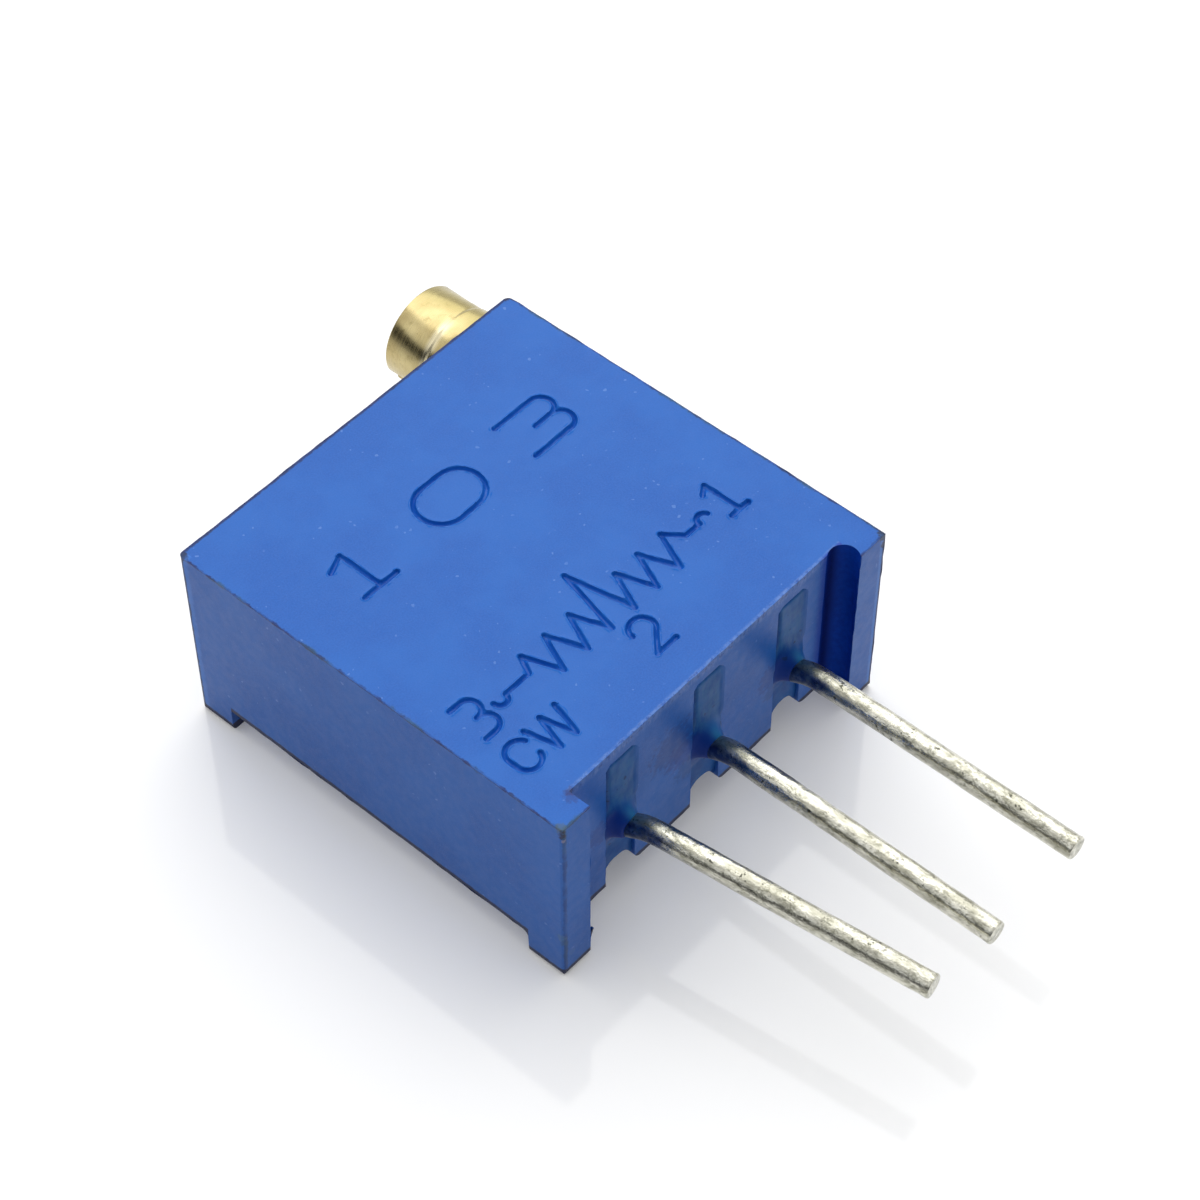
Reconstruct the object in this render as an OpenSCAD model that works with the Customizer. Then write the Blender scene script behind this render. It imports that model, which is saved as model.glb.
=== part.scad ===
// Square multi-turn trimmer potentiometer, 3/8 inch size, lying on its back.
// Units are millimetres. +Z points out of the marked face, +Y towards the screw,
// -Y along the pins. The origin is where the middle pin crosses the seating plane.

/* [Case] */
// Width of the case across the pin row
case_w = 9.53; // [9.3:0.01:9.8]
// Length of the case from the seating plane to the screw side
case_l = 10.03; // [9.9:0.01:10.3]
// Thickness from the foot soles to the marked face
case_t = 4.83; // [4.8:0.01:4.9]
// Height of the marked face above the pin row
mark_z = 2.23; // [2.2:0.01:2.3]
// Height of the four feet on the back
foot_h = 0.64; // [0.3:0.01:0.7]
// Length of each foot
foot_l = 0.92; // [0.7:0.01:1.2]
// Width of the two standoff ribs on the pin side
rib_w = 0.765; // [0.6:0.005:0.8]
// How far the pin side is set back between the ribs
recess = 0.515; // [0.4:0.005:0.55]
// Thickness of the side walls at the open back
wall = 0.495; // [0.45:0.005:0.55]

/* [Pins] */
// Distance between neighbouring pins
pitch = 2.54; // [2.5:0.01:2.6]
// Diameter of the pin wire
pin_d = 0.51; // [0.45:0.01:0.51]
// Reach of the pins past the seating plane
pin_reach = 6.5; // [4:0.1:8]
// How far pin 3 is splayed outwards from square, in degrees
splay = 6.8; // [0:0.1:10]
// How much shorter pin 3 was cut
pin_3_trim = 0.12; // [0:0.01:0.3]
// Height that each pin gains in its bend
pin_lift = 0.38; // [0.38:0.01:0.42]
// Slope of the bend, in degrees
bend_angle = 27; // [20:1:30]

/* [Screw] */
// Distance of the screw axis from the middle pin
screw_x = 3.64; // [3.6:0.01:3.66]
// Height of the screw axis above the pin row
screw_z = 1.04; // [1.02:0.01:1.06]
// Diameter of the collar outside the case
collar_d = 2.17; // [2:0.01:2.2]
// Diameter of the slotted head
head_d = 2.2; // [2:0.01:2.2]
// How far the screw stands out of the case
head_reach = 1.52; // [1.3:0.01:1.7]
// Length of the head in front of the collar
head_l = 1.06; // [0.9:0.01:1.2]
// Depth of the screwdriver slot
slot_depth = 0.76; // [0.5:0.01:0.85]
// Width of the screwdriver slot
slot_w = 0.5; // [0.4:0.01:0.65]
// Direction of the slot at rest, in degrees from +X
slot_angle = 30; // [0:1:180]

/* [Worm drive] */
// Teeth on the rotor, one for each turn of the single-start worm
teeth = 30; // [28:1:30]
// Pitch radius of the rotor
rotor_r = 2.85; // [2.8:0.01:2.87]
// Pitch radius of the worm
worm_r = 0.54; // [0.52:0.01:0.55]
// Height of a tooth above its pitch line
addendum = 0.16; // [0.12:0.01:0.17]
// Depth of a tooth below its pitch line
dedendum = 0.22; // [0.2:0.01:0.24]
// Share of the pitch that a tooth fills at its pitch line
tooth_share = 0.42; // [0.4:0.01:0.44]
// Working arc of the rotor, in degrees
travel = 300; // [270:10:300]

/* [Engraving] */
// Depth of the engraved strokes
mark_depth = 0.07; // [0.04:0.01:0.1]
// Width of the engraved strokes
mark_w = 0.13; // [0.1:0.01:0.16]

/* [Hidden] */
$fn = 64;
eps = 0.02;

// Levels, from the soles up
sole_z = mark_z - case_t;
back_z = sole_z + foot_h;
seal_z = back_z + 0.15;
ceramic_z = -0.12;
ceramic_t = 0.42;
track_z = ceramic_z + ceramic_t;
track_t = 0.015;
rotor_z = 0.62;
rotor_top = 1.46;
stake_x = 0.55;
stake_y = 1.55;
stake_r = 0.12;
stake_h = 0.12;
roof_z = 1.73;
running = 0.03;

// Printed rings on the ceramic: the resistance outside, the collector inside
track_r0 = 1.95;
track_r1 = 2.55;
collector_r0 = 0.72;
collector_r1 = 1.28;

// Plan of the chamber and of the cavity behind it, with the ceramic plate let into it
half_w = case_w / 2;
cavity_x = half_w - wall;
cavity_y0 = recess + 0.485;
cavity_y1 = case_l - 0.63;
chamber_x0 = -3.6;
chamber_y0 = 1.5;
chamber_y1 = 8.62;
plate_gap = 0.07;
plate_x = cavity_x - plate_gap;
plate_y1 = chamber_y1 - plate_gap;

// Slots for the pins in the pin side
pin_x = [pitch, 0, -pitch];
slot_half = 0.43;
slot_top = ceramic_z + 0.07;
pocket_top = mark_z - 0.46;
pocket_y = 0.8;
pocket_corner = [0.2, 0.12];
plug_z = -1.25;
hollow_y = recess + 0.165;
hollow_z = 0.4;
groove_r = 0.33;

// Worm and rotor
rotor_x = screw_x - worm_r - rotor_r;
rotor_y = (chamber_y0 + chamber_y1) / 2;
thread_pitch = 2 * PI * rotor_r / teeth;
lead_angle = atan(thread_pitch / (2 * PI * worm_r));
flank = 20;
worm_turns = 7;
shank_r = 0.9;
neck_r = 0.52;
stub_r = 0.45;
stub_y = 1.1;
worm_y0 = 2.15;
worm_y1 = 8.1;
pivot_r = 0.5;
pivot_z = 0.75;
clip_x0 = 2.75;
clip_x1 = 4.45;
clip_y = 8.37;
clip_t = 0.2;
clip_z0 = track_z + 0.04;
clip_z1 = 1.95;
ring_y = 9.25;
ring_r = 0.17;
stop_r0 = 1.45;
stop_r1 = 2.15;
stop_half = 17;
lug_gap = 0.05;
lug_half = 180 - travel / 2 - stop_half - 0.5;

// Pins and the printed pads round their holes
pin_r = pin_d / 2;
hole_y = 2.02;
hole_r = pin_r + 0.05;
pad_r = 0.5;
inner_bend = 0.5;
outer_bend = 1;
end_bend = pin_lift + ceramic_z;
slope_len = (pin_lift - (inner_bend + outer_bend) * (1 - cos(bend_angle))) / sin(bend_angle);
outer_bend_y = -0.35;
outer_start_y = outer_bend_y + outer_bend * sin(bend_angle);
inner_start_y = outer_start_y + slope_len * cos(bend_angle);
kink_y = inner_start_y + inner_bend * sin(bend_angle);

function fit_tooth(depth) = thread_pitch * tooth_share / 2 - depth * tan(flank);

// ---- building blocks ----

// Box from one corner to the other
module block(low, high) {
    translate(low) cube(high - low);
}

// Cylinder along +Y from y0 to y1
module rod_y(x, z, r, y0, y1) {
    translate([x, y0, z]) rotate([-90, 0, 0]) cylinder(r = r, h = y1 - y0);
}

// Sector of a flat ring around the rotor's axis
module ring_sector(r0, r1, z0, z1, middle, half) {
    translate([rotor_x, rotor_y, z0])
        rotate([0, 0, middle - half])
            rotate_extrude(angle = 2 * half)
                translate([r0, 0]) square([r1 - r0, z1 - z0]);
}

// ---- engraved marks, drawn flat around the middle of the marked face ----

// Straight stroke with round ends
module stroke(a, b) {
    run = b - a;
    translate(a) rotate([0, 0, atan2(run.y, run.x)]) translate([0, -mark_w / 2]) square([norm(run), mark_w]);
    translate(a) circle(d = mark_w);
    translate(b) circle(d = mark_w);
}

// Round stroke, counter-clockwise from a0 to a1
module bow(middle, r, a0, a1) {
    reach = 2 * r;
    steps = ceil((a1 - a0) / 60);
    fan = [for (i = [0:steps]) let (a = a0 + (a1 - a0) * i / steps) reach * [cos(a), sin(a)]];
    translate(middle) {
        intersection() {
            difference() {
                circle(r = r + mark_w / 2);
                circle(r = r - mark_w / 2);
            }
            polygon(concat([[0, 0]], fan));
        }
        for (a = [a0, a1]) translate(r * [cos(a), sin(a)]) circle(d = mark_w);
    }
}

module path(points) {
    for (i = [1:len(points) - 1]) stroke(points[i - 1], points[i]);
}

// Numeral one with a flag and a foot
module one(w, h) {
    path([[-w / 2, h * 0.32], [0, h / 2], [0, -h / 2]]);
    stroke([-w / 2, -h / 2], [w / 2, -h / 2]);
}

// Numeral three from two bowls
module three(w, h) {
    bowl = h / 4;
    for (side = [1, -1]) {
        bow([w / 2 - bowl, side * bowl], bowl, -90, 90);
        stroke([-w / 2, side * 2 * bowl], [w / 2 - bowl, side * 2 * bowl]);
    }
    stroke([-w * 0.05, 0], [w / 2 - bowl, 0]);
}

// Nought from two half circles
module nought(w, h) {
    end_r = h / 2;
    for (side = [1, -1]) {
        bow([side * (w / 2 - end_r), 0], end_r, 90 - 90 * (side + 1), 270 - 90 * (side + 1));
        stroke([end_r - w / 2, side * end_r], [w / 2 - end_r, side * end_r]);
    }
}

// Numeral two with a round top
module two(w, h) {
    bow([0, h / 2 - w / 2], w / 2, -30, 180);
    knee = [w / 2 * cos(30), h / 2 - w / 2 - w / 2 * sin(30)];
    path([knee, [-w / 2, -h / 2], [w / 2, -h / 2]]);
}

module letter_c(w, h) {
    bow([0, h / 2 - w / 2], w / 2, 20, 180);
    bow([0, w / 2 - h / 2], w / 2, 180, 340);
    stroke([-w / 2, w / 2 - h / 2], [-w / 2, h / 2 - w / 2]);
}

module letter_w(w, h) {
    path([[-w / 2, h / 2], [-w / 4, -h / 2], [0, h / 2], [w / 4, -h / 2], [w / 2, h / 2]]);
}

// Resistor symbol: leads with open rings, a zigzag and a tall peak over its middle
module resistor_symbol() {
    step = 0.68;
    top = -1.7;
    bottom = -2.55;
    middle = -2.1;
    first = -3 * step - 0.2;
    peaks = [for (i = [0:6]) each [
        [first + i * step, i == 3 ? -1.0 : top],
        [first + (i + 0.45) * step, i == 6 ? middle : bottom]
    ]];
    path(concat([[-3.1, middle], [first - 0.2, middle]], peaks, [[2.5, middle]]));
    bow([2.72, middle], 0.16, 20, 180);
    bow([-3.26, middle], 0.16, 180, 360);
}

module markings() {
    translate([-2.7, 2.08]) one(0.9, 1.12);
    translate([-0.15, 2.08]) nought(1.6, 1.12);
    translate([2.45, 2.08]) three(1.35, 1.12);
    translate([-3.85, -2.08]) three(0.5, 0.96);
    translate([3.4, -1.98]) one(0.5, 0.94);
    translate([-0.2, -3.17]) two(0.56, 0.9);
    translate([-3.94, -3.32]) letter_c(0.56, 0.76);
    translate([-3.1, -3.33]) letter_w(0.86, 0.76);
    resistor_symbol();
}

// ---- case ----

module case_block() {
    block([-half_w, 0, back_z], [half_w, case_l, mark_z]);
    for (x = [-half_w, half_w - rib_w], y = [0, case_l - foot_l])
        block([x, y, sole_z], [x + rib_w, y + foot_l, back_z + eps]);
}

// Space between the standoff ribs, with the round groove beside the rib at pin 1
module pin_side_recess() {
    block([rib_w - half_w, -eps, sole_z - eps], [half_w - rib_w, recess, mark_z + eps]);
    translate([half_w - rib_w - 0.25, recess - groove_r + 0.05, sole_z - eps])
        cylinder(r = groove_r, h = case_t + 2 * eps);
}

// Pocket for the sealing resin over each pin, and the slot that the pin comes out of
module pin_slots() {
    for (x = pin_x) {
        translate([x, recess - eps, 0]) rotate([-90, 0, 0]) linear_extrude(pocket_y - recess + eps)
            polygon([
                [-slot_half, -back_z + eps], [slot_half, -back_z + eps],
                [slot_half, pocket_corner.y - pocket_top], [slot_half - pocket_corner.x, -pocket_top],
                [pocket_corner.x - slot_half, -pocket_top], [-slot_half, pocket_corner.y - pocket_top]
            ]);
        block([x - slot_half, recess, back_z - eps], [x + slot_half, cavity_y0 + eps, slot_top]);
    }
}

// Rotor chamber under the roof, and the wider cavity that the ceramic and the resin fill
module inner_space() {
    block([chamber_x0, chamber_y0, track_z - eps], [plate_x, chamber_y1, roof_z]);
    block([-cavity_x, cavity_y0, ceramic_z], [cavity_x, chamber_y1, track_z]);
    block([-cavity_x, cavity_y0, sole_z], [cavity_x, cavity_y1, ceramic_z + eps]);
}

// Bore for the screw's shank, channel over the worm, bearing pocket and clip slot
module screw_space() {
    rod_y(screw_x, screw_z, shank_r + running, chamber_y0, case_l + eps);
    rod_y(screw_x, screw_z, stub_r + running, stub_y - 0.05, chamber_y0 + eps);
    block([clip_x0 - eps, clip_y - running, track_z],
        [clip_x1 + eps, clip_y + clip_t + running, clip_z1 + eps]);
}

// Round post for the rotor and the stop that its lug meets
module rotor_seat() {
    translate([rotor_x, rotor_y, pivot_z]) cylinder(r = pivot_r, h = roof_z - pivot_z + eps);
    ring_sector(stop_r0, stop_r1, rotor_top + lug_gap, roof_z + eps, 270, stop_half);
}

module housing() {
    color([0.27, 0.46, 0.78]) {
        difference() {
            case_block();
            pin_side_recess();
            pin_slots();
            inner_space();
            screw_space();
            translate([0, case_l / 2, mark_z - mark_depth]) linear_extrude(mark_depth + eps) markings();
        }
        rotor_seat();
    }
}

// Resin that closes the back and fills the pockets, hollow round each pin
module back_seal() {
    flush_y = recess + 0.03;
    color([0.2, 0.33, 0.5]) difference() {
        union() {
            block([-cavity_x, cavity_y0, seal_z], [cavity_x, cavity_y1, ceramic_z]);
            for (x = pin_x) {
                block([x - slot_half, hollow_y, plug_z], [x + slot_half, cavity_y0 + eps, ceramic_z]);
                block([x - slot_half, hollow_y, ceramic_z - eps], [x + slot_half, pocket_y, hollow_z + eps]);
                block([x - slot_half, flush_y, hollow_z],
                    [x + slot_half, pocket_y, pocket_top - pocket_corner.y]);
            }
        }
        for (n = [1:3]) pin_solid(n);
    }
}

// ---- element ----

module ceramic_substrate() {
    color([0.93, 0.92, 0.88]) difference() {
        block([-plate_x, cavity_y0 + plate_gap, ceramic_z], [plate_x, plate_y1, track_z]);
        for (x = pin_x) translate([x, hole_y, ceramic_z - eps]) cylinder(r = hole_r, h = ceramic_t + 2 * eps);
    }
}

module resistive_track() {
    color([0.12, 0.12, 0.13]) ring_sector(track_r0, track_r1, track_z, track_z + track_t, 90, travel / 2 + 4);
}

// Printed pad round a pin hole
module pad(x) {
    difference() {
        translate([x, hole_y, track_z]) cylinder(r = pad_r, h = track_t);
        translate([x, hole_y, track_z - eps]) cylinder(r = hole_r, h = track_t + 2 * eps);
    }
}

module collector_track() {
    color([0.75, 0.74, 0.7]) {
        ring_sector(collector_r0, collector_r1, track_z, track_z + track_t, 90, 180);
        block([rotor_x - 0.4, hole_y + 0.9 * pad_r, track_z], [rotor_x, rotor_y - 1.2, track_z + track_t]);
        pad(0);
    }
}

// Printed lead from one end of the track to its pad; side is 1 for pin 1 and -1 for pin 3
module termination(side) {
    color([0.75, 0.74, 0.7]) {
        difference() {
            block([side > 0 ? 1.3 : -2.8, hole_y + 0.8 * pad_r, track_z],
                [side > 0 ? 2.8 : -0.75, hole_y + 3 * pad_r, track_z + track_t]);
            translate([rotor_x, rotor_y, track_z - eps]) cylinder(r = track_r1 + 0.01, h = track_t + 2 * eps);
        }
        pad(side * pitch);
    }
}

// Fillet of solder round the end of a pin
module solder_joint(n) {
    top = track_z + track_t;
    color([0.72, 0.72, 0.7]) difference() {
        translate([pin_x[n - 1], hole_y, top]) rotate_extrude() polygon([
            [0, 0], [0.42, 0], [0.4, 0.03], [0.34, 0.06], [0.3, 0.13], [0.2, 0.19], [0, 0.2]
        ]);
        pin_solid(n);
    }
}

// ---- pins ----

// Bent piece of wire: it starts along +Y at the origin and turns by angle towards +Z
module wire_bend(bend_r, angle) {
    translate([0, 0, bend_r]) rotate([0, 90, 0])
        rotate_extrude(angle = angle) translate([bend_r, 0]) circle(r = pin_r);
}

// Wire from its hole in the ceramic to its bend
module pin_root(x) {
    translate([x, 0, -pin_lift]) {
        translate([0, hole_y, end_bend]) cylinder(r = pin_r, h = track_z + 0.06 + pin_lift - end_bend);
        translate([0, hole_y - end_bend, 0]) wire_bend(end_bend, 90);
        rod_y(0, 0, pin_r, kink_y, hole_y - end_bend);
        translate([0, kink_y, 0]) sphere(r = pin_r);
    }
}

// Wire from its bend to its cut end, before the splay
module pin_leg(reach) {
    inner_drop = inner_bend * (1 - cos(bend_angle));
    translate([0, kink_y, -pin_lift]) mirror([0, 1, 0]) wire_bend(inner_bend, bend_angle);
    translate([0, inner_start_y, inner_drop - pin_lift]) rotate([90 - bend_angle, 0, 0])
        cylinder(r = pin_r, h = slope_len);
    translate([0, outer_bend_y, 0]) mirror([0, 0, 1]) wire_bend(outer_bend, bend_angle);
    rod_y(0, 0, pin_r, -reach, outer_bend_y);
}

module pin_solid(n) {
    x = pin_x[n - 1];
    pin_root(x);
    translate([x, kink_y, 0]) rotate([0, 0, n == 3 ? splay : 0]) translate([0, -kink_y, 0])
        pin_leg(pin_reach - (n == 3 ? pin_3_trim : 0));
}

module terminal_pin(n) {
    color([0.74, 0.73, 0.68]) pin_solid(n);
}

// ---- screw ----

// Single-start right-hand worm along +Y, one closed mesh from rings of its thread profile
module worm() {
    per_turn = 24;
    count = worm_turns * per_turn;
    root_r = worm_r - dedendum;
    tip_r = worm_r + addendum;
    root_half = fit_tooth(-dedendum);
    tip_half = fit_tooth(addendum);
    profile = [[root_r - 0.12, -root_half], [root_r, -root_half], [tip_r, -tip_half],
        [tip_r, tip_half], [root_r, root_half], [root_r - 0.12, root_half]];
    sides = len(profile);
    points = [for (i = [0:count], p = profile) let (a = 360 * i / per_turn)
        [p.x * sin(a), thread_pitch * i / per_turn + p.y, p.x * cos(a)]];
    skin = [for (i = [0:count - 1], k = [0:sides - 1]) let (next = (k + 1) % sides)
        [i * sides + k, i * sides + next, (i + 1) * sides + next, (i + 1) * sides + k]];
    caps = [[for (k = [sides - 1:-1:0]) k], [for (k = [0:sides - 1]) count * sides + k]];
    polyhedron(points, concat(skin, caps));
}

module screw_turned() {
    head_y = case_l + head_reach;
    collar_y = head_y - head_l;
    shank_y = clip_y + clip_t + running;
    rim = 0.05;
    lap = 0.1;
    rod_y(0, 0, stub_r, stub_y, worm_y0 + lap);
    rod_y(0, 0, worm_r - dedendum, worm_y0, worm_y1 + lap);
    rod_y(0, 0, worm_r + addendum, worm_y1, clip_y - running);
    rod_y(0, 0, neck_r, clip_y - running - lap, shank_y + lap);
    rod_y(0, 0, shank_r, shank_y, case_l + 2 * eps);
    rod_y(0, 0, collar_d / 2, case_l + running, collar_y);
    rod_y(0, 0, head_d / 2, collar_y - eps, head_y - rim);
    translate([0, head_y - rim, 0]) rotate([-90, 0, 0])
        cylinder(r1 = head_d / 2, r2 = head_d / 2 - rim, h = rim);
}

// Groove in the shank for the sealing ring
module ring_groove() {
    play = 0.02;
    difference() {
        rod_y(0, 0, shank_r + 1, ring_y - ring_r - play, ring_y + ring_r + play);
        rod_y(0, 0, shank_r - 2 * ring_r - play / 2, ring_y - 1, ring_y + 1);
    }
}

module adjustment_screw() {
    color([0.83, 0.72, 0.45]) translate([screw_x, 0, screw_z]) {
        difference() {
            screw_turned();
            ring_groove();
            rotate([0, -slot_angle, 0]) translate([-head_d, case_l + head_reach - slot_depth, -slot_w / 2])
                cube([2 * head_d, slot_depth + 1, slot_w]);
        }
        translate([0, rotor_y - (floor(worm_turns / 2) + 0.25) * thread_pitch, 0]) worm();
    }
}

module o_ring() {
    color([0.1, 0.1, 0.1]) translate([screw_x, ring_y, screw_z]) rotate([90, 0, 0])
        rotate_extrude() translate([shank_r + 0.01 - ring_r, 0]) circle(r = ring_r - 0.005);
}

// Flat steel fork pushed over the screw's neck from the back
module retaining_clip() {
    fork_r = neck_r + running;
    clip_end = clip_y + clip_t;
    color([0.62, 0.63, 0.65]) difference() {
        block([clip_x0, clip_y, clip_z0], [clip_x1, clip_end, clip_z1]);
        rod_y(screw_x, screw_z, fork_r, clip_y - eps, clip_end + eps);
        block([screw_x - fork_r, clip_y - eps, 0], [screw_x + fork_r, clip_end + eps, screw_z]);
    }
}

// ---- rotor ----

// Gap between two teeth, slanted to the worm's lead
module tooth_gap() {
    tip_half = thread_pitch / 2 - fit_tooth(addendum);
    root_half = thread_pitch / 2 - fit_tooth(-dedendum);
    slack = 0.1;
    translate([rotor_r, 0, screw_z]) rotate([-lead_angle, 0, 0]) linear_extrude(2, center = true)
        polygon([
            [-dedendum, -root_half], [addendum + slack, -tip_half - slack * tan(flank)],
            [addendum + slack, tip_half + slack * tan(flank)], [-dedendum, root_half]
        ]);
}

module rotor_gear() {
    hub_r = 0.95;
    lug_r0 = stop_r0 + lug_gap;
    lug_r1 = stop_r1 - lug_gap;
    color([0.9, 0.88, 0.82]) translate([rotor_x, rotor_y, 0]) {
        difference() {
            union() {
                translate([0, 0, rotor_z]) cylinder(r = rotor_r + addendum, h = rotor_top - rotor_z);
                translate([0, 0, rotor_top - eps])
                    cylinder(r = hub_r, h = roof_z - running - rotor_top + eps);
            }
            for (i = [0:teeth - 1]) rotate([0, 0, (i + 0.5) * 360 / teeth]) tooth_gap();
            translate([0, 0, rotor_z - eps]) cylinder(r = pivot_r + running, h = roof_z);
        }
        translate([-rotor_x, -rotor_y, 0])
            ring_sector(lug_r0, lug_r1, rotor_top - eps, roof_z - lug_gap, 90, lug_half);
        for (x = [-stake_x, stake_x])
            translate([x, stake_y, rotor_z - stake_h]) cylinder(r = stake_r, h = 2 * stake_h);
    }
}

// Spring contact staked under the rotor: outer fingers on the track, inner ones on the collector
module wiper_contact() {
    sheet = 0.06;
    finger_w = 0.16;
    finger_step = 0.24;
    color([0.85, 0.76, 0.5]) translate([rotor_x, rotor_y, rotor_z - sheet]) {
        difference() {
            translate([-stake_x - 0.25, stake_y - 0.2, 0]) cube([2 * stake_x + 0.5, 0.4, sheet]);
            for (x = [-stake_x, stake_x]) translate([x, stake_y, -eps]) cylinder(r = stake_r, h = 1);
        }
        for (x = [-1.5 * finger_step:finger_step:1.51 * finger_step]) {
            translate([x - finger_w / 2, stake_y + 0.19, 0]) rotate([-22, 0, 0])
                cube([finger_w, 0.62, sheet]);
            translate([x + finger_w / 2, stake_y - 0.19, 0]) rotate([-28, 0, 180])
                cube([finger_w, 0.48, sheet]);
        }
    }
}

housing();
back_seal();
ceramic_substrate();
resistive_track();
collector_track();
termination(1);  // termination_1
termination(-1);  // termination_3
solder_joint(1);  // solder_joint_1
solder_joint(2);  // solder_joint_2
solder_joint(3);  // solder_joint_3
terminal_pin(1);  // terminal_pin_1
terminal_pin(2);  // terminal_pin_2
terminal_pin(3);  // terminal_pin_3
retaining_clip();
adjustment_screw();
o_ring();
rotor_gear();
wiper_contact();
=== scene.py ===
import math

import bmesh
import bpy
import numpy as np
from mathutils import Matrix, Vector, noise
from mathutils.geometry import delaunay_2d_cdt


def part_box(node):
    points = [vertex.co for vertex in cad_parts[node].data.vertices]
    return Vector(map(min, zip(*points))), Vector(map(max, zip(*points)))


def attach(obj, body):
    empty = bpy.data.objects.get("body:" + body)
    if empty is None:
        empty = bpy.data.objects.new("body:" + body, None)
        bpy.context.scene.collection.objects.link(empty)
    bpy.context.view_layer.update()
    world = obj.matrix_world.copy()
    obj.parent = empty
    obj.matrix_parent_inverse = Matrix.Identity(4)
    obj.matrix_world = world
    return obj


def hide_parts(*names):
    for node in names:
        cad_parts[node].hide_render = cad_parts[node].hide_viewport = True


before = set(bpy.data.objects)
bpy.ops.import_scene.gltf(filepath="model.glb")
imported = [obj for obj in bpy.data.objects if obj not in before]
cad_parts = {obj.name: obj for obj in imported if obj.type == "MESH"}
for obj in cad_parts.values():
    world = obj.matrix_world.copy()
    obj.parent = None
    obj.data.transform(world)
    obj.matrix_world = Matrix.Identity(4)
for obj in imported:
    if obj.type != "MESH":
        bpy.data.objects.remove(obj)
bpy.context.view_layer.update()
MM = 0.001
scene = bpy.context.scene

# ---- sizes in millimetres, in the part's frame ----

case_lo, case_hi = [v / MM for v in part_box("housing")]
HALF_W = case_hi.x
LENGTH = case_hi.y
TOP = case_hi.z
SOLE = case_lo.z
BACK = SOLE + 0.64
FOOT = 0.92
RIB = 0.765
RECESS = 0.515
FACE_MID = LENGTH / 2
EDGE_R = 0.055
MARK_W = 0.115
MARK_DEPTH = 0.075
MARK_REACH = 0.2
# Round groove at the recess: x and y of its axis, and its radius
GROOVE = (HALF_W - RIB - 0.25, RECESS - 0.28, 0.33)

# The pins, and the slots they come out of
PIN_R = 0.255
PINS = [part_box(f"terminal_pin_{n}")[1].x / MM - PIN_R for n in (1, 2)]
PITCH = PINS[0] - PINS[1]
TIP_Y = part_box("terminal_pin_1")[0].y / MM
BENT_PIN = 3
BENT_BY = math.radians(6.8)
SLOT_X = [PITCH, 0.0, -PITCH]
SLOT_HALF = 0.43
SLOT_TOP = TOP - 0.37
POCKET_Y = 0.8
PLUG_HALF = SLOT_HALF - 0.004
PLUG_LOW = -1.42
PLUG_ROWS = 84
PLUG_COLS = 42

# The inside of the case
CAVITY_X = HALF_W - 0.495
CAVITY_Y0 = 1.0
CAVITY_Y1 = LENGTH - 0.63
SLOT_END = CAVITY_Y0 + 0.02
CHAMBER_Y0 = 1.5
CHAMBER_Y1 = 8.62
CERAMIC_Z = -0.12
TRACK_Z = 0.3
ROOF_Z = 1.73
SEAL_Z = BACK + 0.15

# The screw, and the rotor that its worm drives
screw_lo, screw_hi = [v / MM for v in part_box("adjustment_screw")]
SCREW_X = (screw_lo.x + screw_hi.x) / 2
SCREW_Z = (screw_lo.z + screw_hi.z) / 2
SCREW_END = screw_hi.y
SHOULDER = SCREW_END - 1.06
DRIVE_FLOOR = SCREW_END - 0.76
DRIVE_HALF = 0.25
DRIVE_TURN = math.radians(30)
BORE_R = 0.93
CLIP_Y0 = 8.34
CLIP_Y1 = 8.6
WORM_R = 0.54
GEAR_R = 2.85
GEAR_TEETH = 30
ROTOR_X = SCREW_X - WORM_R - GEAR_R
ROTOR_Y = (CHAMBER_Y0 + CHAMBER_Y1) / 2


def lin(*srgb):
    """sRGB 0-255 to linear rgba."""
    shares = [c / 255 for c in srgb]
    return (*(c / 12.92 if c <= 0.04045 else ((c + 0.055) / 1.055) ** 2.4 for c in shares), 1.0)


def smooth(a, b, x):
    """Smooth step: 0 where x is at a or before it, 1 from b on."""
    t = min(1, max(0, (x - a) / (b - a)))
    return t * t * (3 - 2 * t)


# ---- mesh helpers ----

def to_object(bm, name):
    """A bmesh in millimetres becomes an object in metres."""
    bmesh.ops.transform(bm, matrix=Matrix.Scale(MM, 4), verts=bm.verts)
    mesh = bpy.data.meshes.new(name)
    bm.to_mesh(mesh)
    bm.free()
    obj = bpy.data.objects.new(name, mesh)
    scene.collection.objects.link(obj)
    return obj


def smooth_object(bm, name):
    for f in bm.faces:
        f.smooth = True
    return to_object(bm, name)


def add_band(bm, a, b):
    """Quads between two closed loops of vertices."""
    n = len(a)
    for i in range(n):
        k = (i + 1) % n
        bm.faces.new((a[i], a[k], b[k], b[i]))


def add_net(bm, rows):
    """Quads between the vertices of neighbouring rows."""
    for a, b in zip(rows, rows[1:]):
        for i in range(len(a) - 1):
            bm.faces.new((a[i], a[i + 1], b[i + 1], b[i]))


def close_net(bm, rows, behind):
    """Walls from the border of a net to the points that behind(co) gives, and a lid over them."""
    loop = rows[0] + [r[-1] for r in rows[1:]] + rows[-1][-2::-1] + [r[0] for r in rows[-2:0:-1]]
    lid = [bm.verts.new(behind(v.co)) for v in loop]
    add_band(bm, loop, lid)
    bm.faces.new(lid)


def add_prism(bm, points, axis, a, b):
    """Closed prism: points are 2D in the plane across axis, from a to b along it."""
    def at(p, t):
        return Vector({"x": (t, p[0], p[1]), "y": (p[0], t, p[1]), "z": (p[0], p[1], t)}[axis])
    low = [bm.verts.new(at(p, a)) for p in points]
    high = [bm.verts.new(at(p, b)) for p in points]
    bm.faces.new(low[::-1])
    bm.faces.new(high)
    add_band(bm, low, high)


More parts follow.
